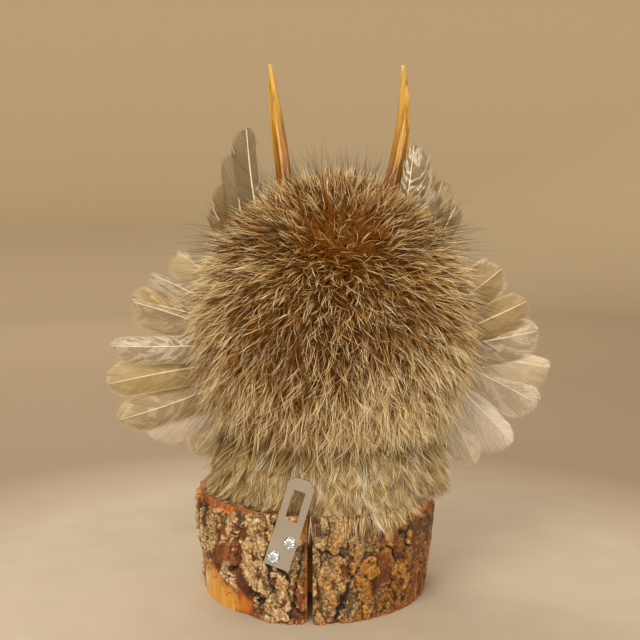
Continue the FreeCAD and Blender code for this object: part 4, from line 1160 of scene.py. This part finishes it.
def head_kinds(lie, under):
    """Weights of LONG_KINDS over the head: a dark band across the middle, orange-brown round the
    whorl, reddish low on the left, palest low on the right and at the rim."""
    x, z = lie["offset"][:, (0, 2)].T
    waves = np.sin(x * 0.11 + 1.3) * np.sin(z * 0.09 + 0.4) + 0.6 * np.sin(x * 0.23 + z * 0.17)
    low_down = np.clip((10 - z) / 60, 0, 1)
    near_whorl = np.exp(-((lie["reach"] / 15) ** 4))
    reddish = np.clip((x - 5) / 40, 0, 1) * low_down
    band = np.exp(-(((z - 6) / 24) ** 2)) * np.exp(-(((x - 6) / 38) ** 2))
    pale = low_down * np.clip((24 - x) / 50, 0.25, 1.3) + 0.3 * np.clip((np.abs(x) - 38) / 22, 0, 1)
    if under:
        return np.stack([
            0.6 + 0.3 * band - 0.3 * low_down + 0.1 * waves, 0.25 + 12.0 * near_whorl,
            0.25 + 0.5 * reddish, 0.05 + 0.15 * low_down, 0.3 * pale, np.zeros_like(x),
        ], axis=1).clip(0)
    return np.stack([
        0.16 + 0.9 * band, 0.1 + 8.0 * near_whorl, 0.1 + 0.3 * reddish + 0.1 * band,
        0.46 + 0.1 * waves - 0.25 * band, 0.1 + 1.7 * pale, np.zeros_like(x),
    ], axis=1).clip(0)


def head_tufts(rng, total, per_tuft, spread, kinds, mix, growth, wildness, shades=(0, 1)):
    """Tufts spread evenly over the head, and the hairs round each of them."""
    way = unit(rng.normal(size=(total, 3)))
    lie = head_lie(*on_skin(way))
    tuft = np.repeat(np.arange(total), per_tuft)
    hair = head_lie(*on_skin(unit(way[tuft] + rng.normal(size=(len(tuft), 3)) * spread)))
    weights = kinds(lie)
    kind = mixed_kinds(rng, weights, tuft, mix)
    muddle = rng.uniform(-math.pi, math.pi, total) * np.exp(-((lie["reach"] / 18) ** 2))
    hair["tuft"] = tuft
    hair["sway"] = (rng.normal(0, wildness, total) + muddle)[tuft]
    hair["curl"] = rng.normal(0, 1.6 * wildness, total)[tuft]
    hair["tip_lean"] = hair["tip_lean"] + rng.normal(0, 0.14, total)[tuft]
    uneven = rng.normal(1, 0.12, total)[tuft]
    hair["length"] = hair["length"] * growth * uneven * rng.normal(1, 0.06, len(tuft))
    hair["length"] = hair["length"] * np.choose(kind, [0.85, 0.85, 0.95, 1.0, 1.05, 1.0])
    hair["width"] = np.choose(kind, [0.3, 0.3, 0.26, 0.15, 0.17, 0.1]) * MM
    shade = rng.random(total)[tuft] * 0.7 + 0.3 * rng.random(len(tuft))
    hair["tone"] = kind_tone(kind, shades[0] + (shades[1] - shades[0]) * shade, len(LONG_KINDS))
    return hair


def share_out(hair, chosen):
    return {name: values[chosen] for name, values in hair.items()}


def same_kinds(*weights):
    """Weights that are the same all over the head."""
    return lambda lie: np.tile(weights, (len(lie["reach"]), 1))


def crown_guards(rng, total):
    """Long, thin dark guard hairs that stand up out of the crown and the cheeks."""
    hair = head_tufts(rng, total, 1, 0.0, same_kinds(0, 0, 0, 0, 0, 1.0), 0.0, 1.55, 0.16)
    x, y, z = hair["offset"].T
    standing = (z > 42) | ((np.abs(x) > 50) & (rng.random(total) < 0.5))
    hair["tip_lean"] = hair["tip_lean"] * 0.75
    return share_out(hair, standing & (y > face_edge))


UNDERFUR = head_tufts(fur_rng, 9000, 8, 0.03, lambda lie: head_kinds(lie, True), 0.6, 0.82, 0.2, (0.25, 0.6))
LOCKS = head_tufts(fur_rng, 25000, 2, 0.008, lambda lie: head_kinds(lie, False), 0.1, 1.0, 0.34)
STRAYS = head_tufts(fur_rng, 9000, 1, 0.0, same_kinds(0, 0, 0, 0.6, 0.4, 0), 0.0, 0.95, 0.5)
GUARDS = crown_guards(fur_rng, 8000)
head_parts = {
    "crown_left": lambda x, y, z: (z > 22) & (x > 0),
    "crown_right": lambda x, y, z: (z > 22) & (x <= 0),
    "nape": lambda x, y, z: (z <= 22) & (y > 28),
    "left_cheek": lambda x, y, z: (z <= 22) & (y <= 28) & (x > 0),
    "right_cheek": lambda x, y, z: (z <= 22) & (y <= 28) & (x <= 0),
}
for layer_name, layer_hair, layer_clump in (("underfur", UNDERFUR, 0.2), ("locks", LOCKS, 0.6)):
    x, y, z = layer_hair["offset"].T
    for part_name, inside in head_parts.items():
        part_hair = share_out(layer_hair, inside(x, y, z) & (y > face_edge))
        part = grow(f"{part_name}_{layer_name}", part_hair, fur_rng, layer_clump)
        settle(part, LONG_FUR, "long_fur", "back_pelt")
settle(grow("guard_hairs", GUARDS, fur_rng, 0.0), LONG_FUR, "long_fur", "back_pelt")
STRAYS["length"] = STRAYS["length"] * np.interp(STRAYS["reach"], [0, 25], [1.3, 1])
STRAYS = share_out(STRAYS, STRAYS["offset"][:, 1] > face_edge)
settle(grow("stray_hairs", STRAYS, fur_rng, 0.0), LONG_FUR, "long_fur", "back_pelt")


def half_skin(name, front):
    """One half of the head's skin, parted from the other where the face begins."""
    shape = bmesh.new()
    bmesh.ops.create_uvsphere(shape, u_segments=96, v_segments=64, radius=1.0)
    bmesh.ops.scale(shape, vec=Vector(skin_radii), verts=shape.verts[:])
    bmesh.ops.translate(shape, vec=Vector(head_middle), verts=shape.verts[:])
    cut_at = Vector((0, head_middle[1] + face_edge * MM, 0))
    bmesh.ops.bisect_plane(
        shape, geom=shape.verts[:] + shape.edges[:] + shape.faces[:], plane_co=cut_at,
        plane_no=(0, 1, 0), clear_outer=front, clear_inner=not front,
    )
    bmesh.ops.solidify(shape, geom=shape.faces[:], thickness=1.2 * MM)
    bmesh.ops.recalc_face_normals(shape, faces=shape.faces[:])
    return finish_mesh(shape, name)


LONG_UNDERFUR = skin_material("long_underfur", paint(70, 38, 8), paint(120, 72, 18), 260.0)
settle(half_skin("back_skin", False), LONG_UNDERFUR, "long_fur", "back_pelt")


# Collar. A strip of short pale fur glued round the neck to hide the joint, with its hair combed
# down over the rim of the log. The hanger strap presses it flat.
collar_low, collar_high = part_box("collar_pelt")
collar_middle = np.array(((collar_low.x + collar_high.x) / 2, (collar_low.y + collar_high.y) / 2))
collar_foot = (collar_high.y - collar_low.y) / 2 - 13 * MM
collar_head = collar_foot - 1 * MM
strap_way = np.array(slot_mount["axis"], float)
strap_point = np.array(slot_mount["pos_m"], float)
# the strap leans back and sideways, and presses the hair flat in a strip a little wider than itself
strap_tilt, strap_turn = math.radians(8), math.radians(17.5)
press_depth, press_half_width = 3.4 * MM, 9.5 * MM


def collar_skin(turn, height):
    """Point and normal of the collar's skin at a turn and a height above the log."""
    share = (height - collar_low.z) / (collar_high.z - collar_low.z)
    radius = collar_foot + (collar_head - collar_foot) * share
    out = np.stack([np.sin(turn), np.cos(turn), 0 * turn], 1)
    points = out * radius[:, None]
    points[:, :2] += collar_middle
    points[:, 2] = height
    slope = (collar_foot - collar_head) / (collar_high.z - collar_low.z)
    return points, unit(out + np.array((0, 0, slope)))


COLLAR_KINDS = (
    (paint(66, 46, 20), paint(118, 92, 50), paint(164, 134, 82)),
    (paint(78, 56, 26), paint(148, 120, 72), paint(214, 188, 136)),
    (paint(92, 72, 40), paint(172, 148, 102), paint(240, 224, 184)),
    (paint(84, 74, 56), paint(156, 144, 120), paint(226, 218, 196)),
)
COLLAR_FUR = fur_material("collar_fur", COLLAR_KINDS)


def collar_lie(turns, heights):
    """How the short fur lies on the collar: combed down, and standing out more at the foot. Its
    locks hang longer at some turns than at others."""
    points, normals = collar_skin(turns, heights)
    down = np.array((0.0, 0.0, -1.0))
    share = np.clip((heights - collar_low.z) / (collar_high.z - collar_low.z), 0, 1.3)
    turned = (np.degrees(turns) + 180) % 360 - 180
    hang = np.exp(-(((turned + 10) / 24) ** 2)) + 0.9 * np.exp(-(((turned - 34) / 16) ** 2))
    hang = hang - 0.7 * np.exp(-(((turned + 62) / 22) ** 2))
    left_rim = np.exp(-(((turned - 68) / 26) ** 2))
    length = 18 + 6 * share + (7 * hang + 6 * left_rim) * (1 - share)
    return {
        "root": points, "normal": normals, "flow": unit(down - (normals @ down)[:, None] * normals),
        "length": length * MM, "foot_lean": np.radians(18 + 12 * share),
        "tip_lean": np.radians(58 + 10 * share + 14 * hang),
    }


def press_hair(hair):
    """Rests hair on the log's top, and presses it back behind the strap."""
    mesh = hair.data
    points = np.zeros(len(mesh.vertices) * 3, np.float32)
    mesh.vertices.foreach_get("co", points)
    points = points.reshape(-1, 3).astype(float)
    out = np.hypot(points[:, 0] - top_middle, points[:, 1])
    over_log = out < top_radius + 0.4 * MM
    points[over_log, 2] = np.maximum(points[over_log, 2], log_top + 0.4 * MM)
    beside = points - strap_point
    across = beside @ np.array((strap_way[1], -strap_way[0], 0.0))
    outward = beside @ strap_way
    back = np.maximum(beside[:, 2] + 8 * MM, 0) * math.tan(strap_tilt) - press_depth
    lean_across = across + beside[:, 2] * math.tan(strap_turn)
    beside_strap = (np.abs(lean_across) < press_half_width) & (points[:, 2] < strap_point[2] + 20 * MM)
    behind = beside_strap & (outward > back)
    push = (outward - back)[behind]
    points[behind] -= push[:, None] * strap_way
    mesh.vertices.foreach_set("co", points.astype(np.float32).reshape(-1))
    mesh.update()
    return hair


def collar_hair(name, turn_low, turn_high, tufts, per_tuft):
    rng = fur_rng
    turn = rng.uniform(turn_low, turn_high, tufts)
    height = collar_low.z + (collar_high.z + 8 * MM - collar_low.z) * rng.random(tufts) ** 1.15
    tuft = np.repeat(np.arange(tufts), per_tuft)
    hair_turns = turn[tuft] + rng.normal(0, 0.022, len(tuft))
    hair_heights = height[tuft] + rng.normal(0, 1.3 * MM, len(tuft))
    hair = collar_lie(hair_turns, np.maximum(hair_heights, collar_low.z + 0.4 * MM))
    grey = (0.5 - 0.5 * np.sin(turn)) ** 2
    weights = np.stack(
        [0.32 - 0.1 * grey, np.full_like(grey, 0.4), np.full_like(grey, 0.24), 0.03 + 0.35 * grey], 1
    )
    kind = mixed_kinds(rng, weights, tuft, 0.3)
    hair["tuft"] = tuft
    hair["sway"] = rng.normal(0, 0.28, tufts)[tuft]
    hair["curl"] = rng.normal(0, 0.45, tufts)[tuft]
    hair["tip_lean"] = hair["tip_lean"] + rng.normal(0, 0.16, tufts)[tuft]
    hair["length"] = hair["length"] * rng.normal(1, 0.15, tufts)[tuft] * rng.normal(1, 0.06, len(tuft))
    hair["width"] = np.choose(kind, [0.28, 0.23, 0.2, 0.2]) * MM
    hair["tone"] = kind_tone(kind, rng.random(len(tuft)), len(COLLAR_KINDS))
    return press_hair(grow(name, hair, rng, 0.6))


for collar_part, turn_low in (("back", -math.pi / 2), ("front", math.pi / 2)):
    half = collar_hair(f"collar_fur_{collar_part}", turn_low, turn_low + math.pi, 3200, 8)
    settle(half, COLLAR_FUR, "collar_fur", "collar_pelt")


def collar_skin_mesh(name):
    """The strip's skin, a plain closed sleeve that runs on up under the long fur."""
    shape = bmesh.new()
    foot = bmesh.ops.create_cone(
        shape, cap_ends=True, segments=96, radius1=collar_foot, radius2=collar_head * 0.98,
        depth=collar_high.z - collar_low.z + 12 * MM,
    )
    bmesh.ops.translate(
        shape, verts=foot["verts"],
        vec=(collar_middle[0], collar_middle[1], (collar_high.z + collar_low.z) / 2 + 6 * MM),
    )
    return finish_mesh(shape, name)


COLLAR_UNDERFUR = skin_material("collar_underfur", paint(74, 56, 32), paint(140, 114, 74), 300.0)
settle(collar_skin_mesh("collar_skin"), COLLAR_UNDERFUR, "collar_fur", "collar_pelt")

# Face. Close, owl-like fur on its own skin, glued over the front of the head form. It lies back
# from the beak and parts round the eyes.
beak_low, beak_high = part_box("beak")
beak_root = np.array(((beak_low.x + beak_high.x) / 2, beak_high.y, (beak_low.z + beak_high.z) / 2))
eye_boxes = [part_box(name) for name in ("eye_left", "eye_right")]
eye_gap, beak_gap = 9.2 * MM, 7 * MM
FACE_KINDS = (
    (paint(66, 40, 18), paint(126, 86, 44), paint(168, 128, 78)),
    (paint(92, 66, 36), paint(176, 142, 92), paint(222, 200, 154)),
    (paint(58, 36, 20), paint(92, 60, 34), paint(120, 84, 50)),
)
FACE_FUR = fur_material("face_fur", FACE_KINDS)


def face_lie(ways):
    """How the face fur lies: back from the beak, and round the eyes."""
    points, normals = on_skin(ways)
    flow = flow_from(points, normals, beak_root, np.zeros(len(points)))
    for low, high in eye_boxes:
        away = points - np.array((low + high) / 2)
        gap = np.linalg.norm(away, axis=1, keepdims=True)
        away = unit(away - (away * normals).sum(1, keepdims=True) * normals)
        flow = unit(flow + away * 1.6 * np.exp(-((gap / (16 * MM)) ** 2)))
    count = len(points)
    return {
        "root": points, "normal": normals, "flow": flow, "length": np.full(count, 12 * MM),
        "foot_lean": np.full(count, math.radians(38)), "tip_lean": np.full(count, math.radians(70)),
    }


def face_hair(name, tufts, per_tuft):
    rng = fur_rng
    way = unit(rng.normal(size=(tufts * 3, 3)))
    way = way[way[:, 1] < -0.3][:tufts]
    tuft = np.repeat(np.arange(len(way)), per_tuft)
    hair = face_lie(unit(way[tuft] + rng.normal(size=(len(tuft), 3)) * 0.03))
    points = hair["root"]
    offset = (points - head_middle) / MM
    keep = offset[:, 1] < face_edge
    for low, high in eye_boxes:
        middle = np.array((low + high) / 2)
        keep &= np.hypot(points[:, 0] - middle[0], points[:, 2] - middle[2]) > eye_gap
    keep &= np.hypot(points[:, 0] - beak_root[0], points[:, 2] - beak_root[2] - 2 * MM) > beak_gap
    spread = np.abs(offset[:, 0])
    weights = np.stack([np.full_like(spread, 0.5), 0.35 + 0.5 * (spread < 20), 0.3 * (spread > 30)], 1)
    kind = pick_kinds(rng, weights)
    hair["tuft"] = tuft
    hair["sway"] = rng.normal(0, 0.15, len(way))[tuft]
    hair["curl"] = rng.normal(0, 0.2, len(way))[tuft]
    hair["length"] = hair["length"] * rng.normal(1, 0.1, len(way))[tuft] * rng.normal(1, 0.1, len(tuft))
    hair["width"] = np.choose(kind, [0.24, 0.22, 0.2]) * MM
    hair["tone"] = kind_tone(kind, rng.random(len(tuft)), len(FACE_KINDS))
    return grow(name, share_out(hair, keep), rng, 0.4)


settle(face_hair("face_fur_coat", 3400, 8), FACE_FUR, "face_fur", "face_pelt")
FACE_UNDERFUR = skin_material("face_underfur", paint(70, 44, 22), paint(136, 98, 54), 280.0)
settle(half_skin("face_skin", True), FACE_UNDERFUR, "face_fur", "face_pelt")


# Eyes. Glass eyes on wires: a black pupil in an amber iris of fine spokes, under clear glass.
def eye_material(name, middle):
    pupil, iris = 4.2 * MM, 8.3 * MM
    material, tree, shader = new_material(
        name, **{"Roughness": 0.06, "Coat Weight": 1.0, "Coat Roughness": 0.03}
    )
    centred = stretched(tree, object_coordinates(tree), (1.0, 0.0, 1.0), (-middle.x, 0.0, -middle.z))
    radius = length_of(tree, centred)
    spokes = add_node(tree, "ShaderNodeVectorMath", {0: centred}, operation="NORMALIZE").outputs[0]
    spoke = noise_level(tree, spokes, 9.0, 4.0, 0.7)
    amber = ramp(
        tree, spoke, [(0.35, paint(120, 58, 8)), (0.6, paint(214, 140, 28)), (0.75, paint(240, 184, 70))]
    )
    rim = ramp(tree, maths(tree, "DIVIDE", radius, iris), [(0.8, 1.0), (0.95, 0.12)])
    amber = blend_colours(tree, 1.0, amber, rim, "MULTIPLY")
    hole = ramp(tree, maths(tree, "DIVIDE", radius, pupil), [(0.94, 0.0), (1.0, 1.0)])
    feed(tree, shader, Base_Color=blend_colours(tree, hole, paint(8, 6, 5), amber))
    return material


for eye_name in ("eye_left", "eye_right"):
    eye_low, eye_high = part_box(eye_name)
    assign(nodes[eye_name], eye_material(eye_name + "_glass", (eye_low + eye_high) / 2))


# Beak. A small hook of dark horn, polished, with fine growth lines round it.
def beak_material():
    material, tree, shader = new_material("beak_horn", **{"Roughness": 0.3, "Coat Weight": 0.5})
    place = object_coordinates(tree)
    lines = noise_level(tree, stretched(tree, place, (120.0, 700.0, 120.0)), 1.0, 3.0)
    feed(
        tree, shader,
        Base_Color=ramp(tree, lines, [(0.35, paint(34, 24, 18)), (0.7, paint(78, 56, 36))]),
        Normal=bump(tree, lines, 0.0002, 0.5),
    )
    return material


assign(nodes["beak"], beak_material())


# Floor, light and camera. A pale floor that sweeps up into a round backdrop, under large soft
# lights, seen from behind the figure and a little above it.
def floor_material():
    material, tree, shader = new_material("pale_floor", **{"Roughness": 0.85})
    place = object_coordinates(tree)
    speckle = noise_level(tree, place, 30.0, 3.0)
    table = ramp(tree, speckle, [(0.3, paint(184, 171, 151)), (0.7, paint(190, 177, 157))])
    reach = length_of(tree, stretched(tree, place, (1.0, 1.0, 0.0)))
    # painted light and shade: the backdrop is darker on the middle floor, which the lamps light most, and
    # paler up the wall, which they light least
    sweep = ramp(
        tree, scaled(tree, reach, 0.4),
        [(0.32, paint(152, 133, 108)), (0.6, paint(168, 150, 124)), (0.84, paint(210, 194, 164)),
         (0.96, paint(224, 206, 178))],
    )
    beyond = ramp(tree, reach, [(0.22, 0.0), (0.36, 1.0)])
    feed(tree, shader, Base_Color=blend_colours(tree, beyond, table, sweep))
    return material


floor_radius, sweep_radius, wall_height = 1.5, 0.9, 0.6
ground = bmesh.new()
track = [ground.verts.new((0, 0, 0)), ground.verts.new((floor_radius, 0, 0))]
for step in range(1, 13):
    bend = math.radians(90) * step / 12
    out, up = floor_radius + sweep_radius * math.sin(bend), sweep_radius * (1 - math.cos(bend))
    track.append(ground.verts.new((out, 0, up)))
track.append(ground.verts.new((floor_radius + sweep_radius, 0, sweep_radius + wall_height)))
for lower, upper in zip(track, track[1:]):
    ground.edges.new((lower, upper))
bmesh.ops.spin(
    ground, geom=ground.verts[:] + ground.edges[:], cent=(0, 0, 0), axis=(0, 0, 1),
    angle=math.tau, steps=96, use_merge=True,
)
bmesh.ops.remove_doubles(ground, verts=ground.verts[:], dist=MM)
bmesh.ops.recalc_face_normals(ground, faces=ground.faces[:])
floor = finish_mesh(ground, "floor")
assign(floor, floor_material())

world = bpy.data.worlds.new("studio")
world.use_nodes = True
world.node_tree.nodes["Background"].inputs[0].default_value = paint(236, 220, 196)
world.node_tree.nodes["Background"].inputs[1].default_value = 0.64
bpy.context.scene.world = world
aim = Vector((0.0, 0.0, 0.16))
warm_white = (1.0, 0.94, 0.84)
for light_name, place, size, power in (
    ("key", (0.5, 1.15, 1.35), 0.8, 18.5),
    ("fill", (-1.1, 0.8, 0.7), 1.0, 5.0),
    ("face_side", (0.4, -1.2, 1.1), 1.0, 12.0),
    ("low_back", (-0.1, 1.1, 0.3), 0.5, 3.6),
):
    lamp = bpy.data.lights.new(light_name, "AREA")
    lamp.size = size
    lamp.energy = power
    lamp.color = warm_white
    light = bpy.data.objects.new(light_name, lamp)
    light.location = place
    light.rotation_euler = (aim - Vector(place)).to_track_quat("-Z", "Y").to_euler()
    bpy.context.scene.collection.objects.link(light)

lens = bpy.data.cameras.new("camera")
lens.sensor_width, lens.lens = 36.0, 62.55
lens.clip_start, lens.clip_end = 0.01, 20.0
camera = bpy.data.objects.new("camera", lens)
camera.location = (-0.0057, 0.667, 0.243)
camera.rotation_euler = (math.radians(83.2), 0.0, math.radians(180.0))
bpy.context.scene.collection.objects.link(camera)
bpy.context.scene.camera = camera
bpy.context.scene.view_settings.view_transform = "Standard"
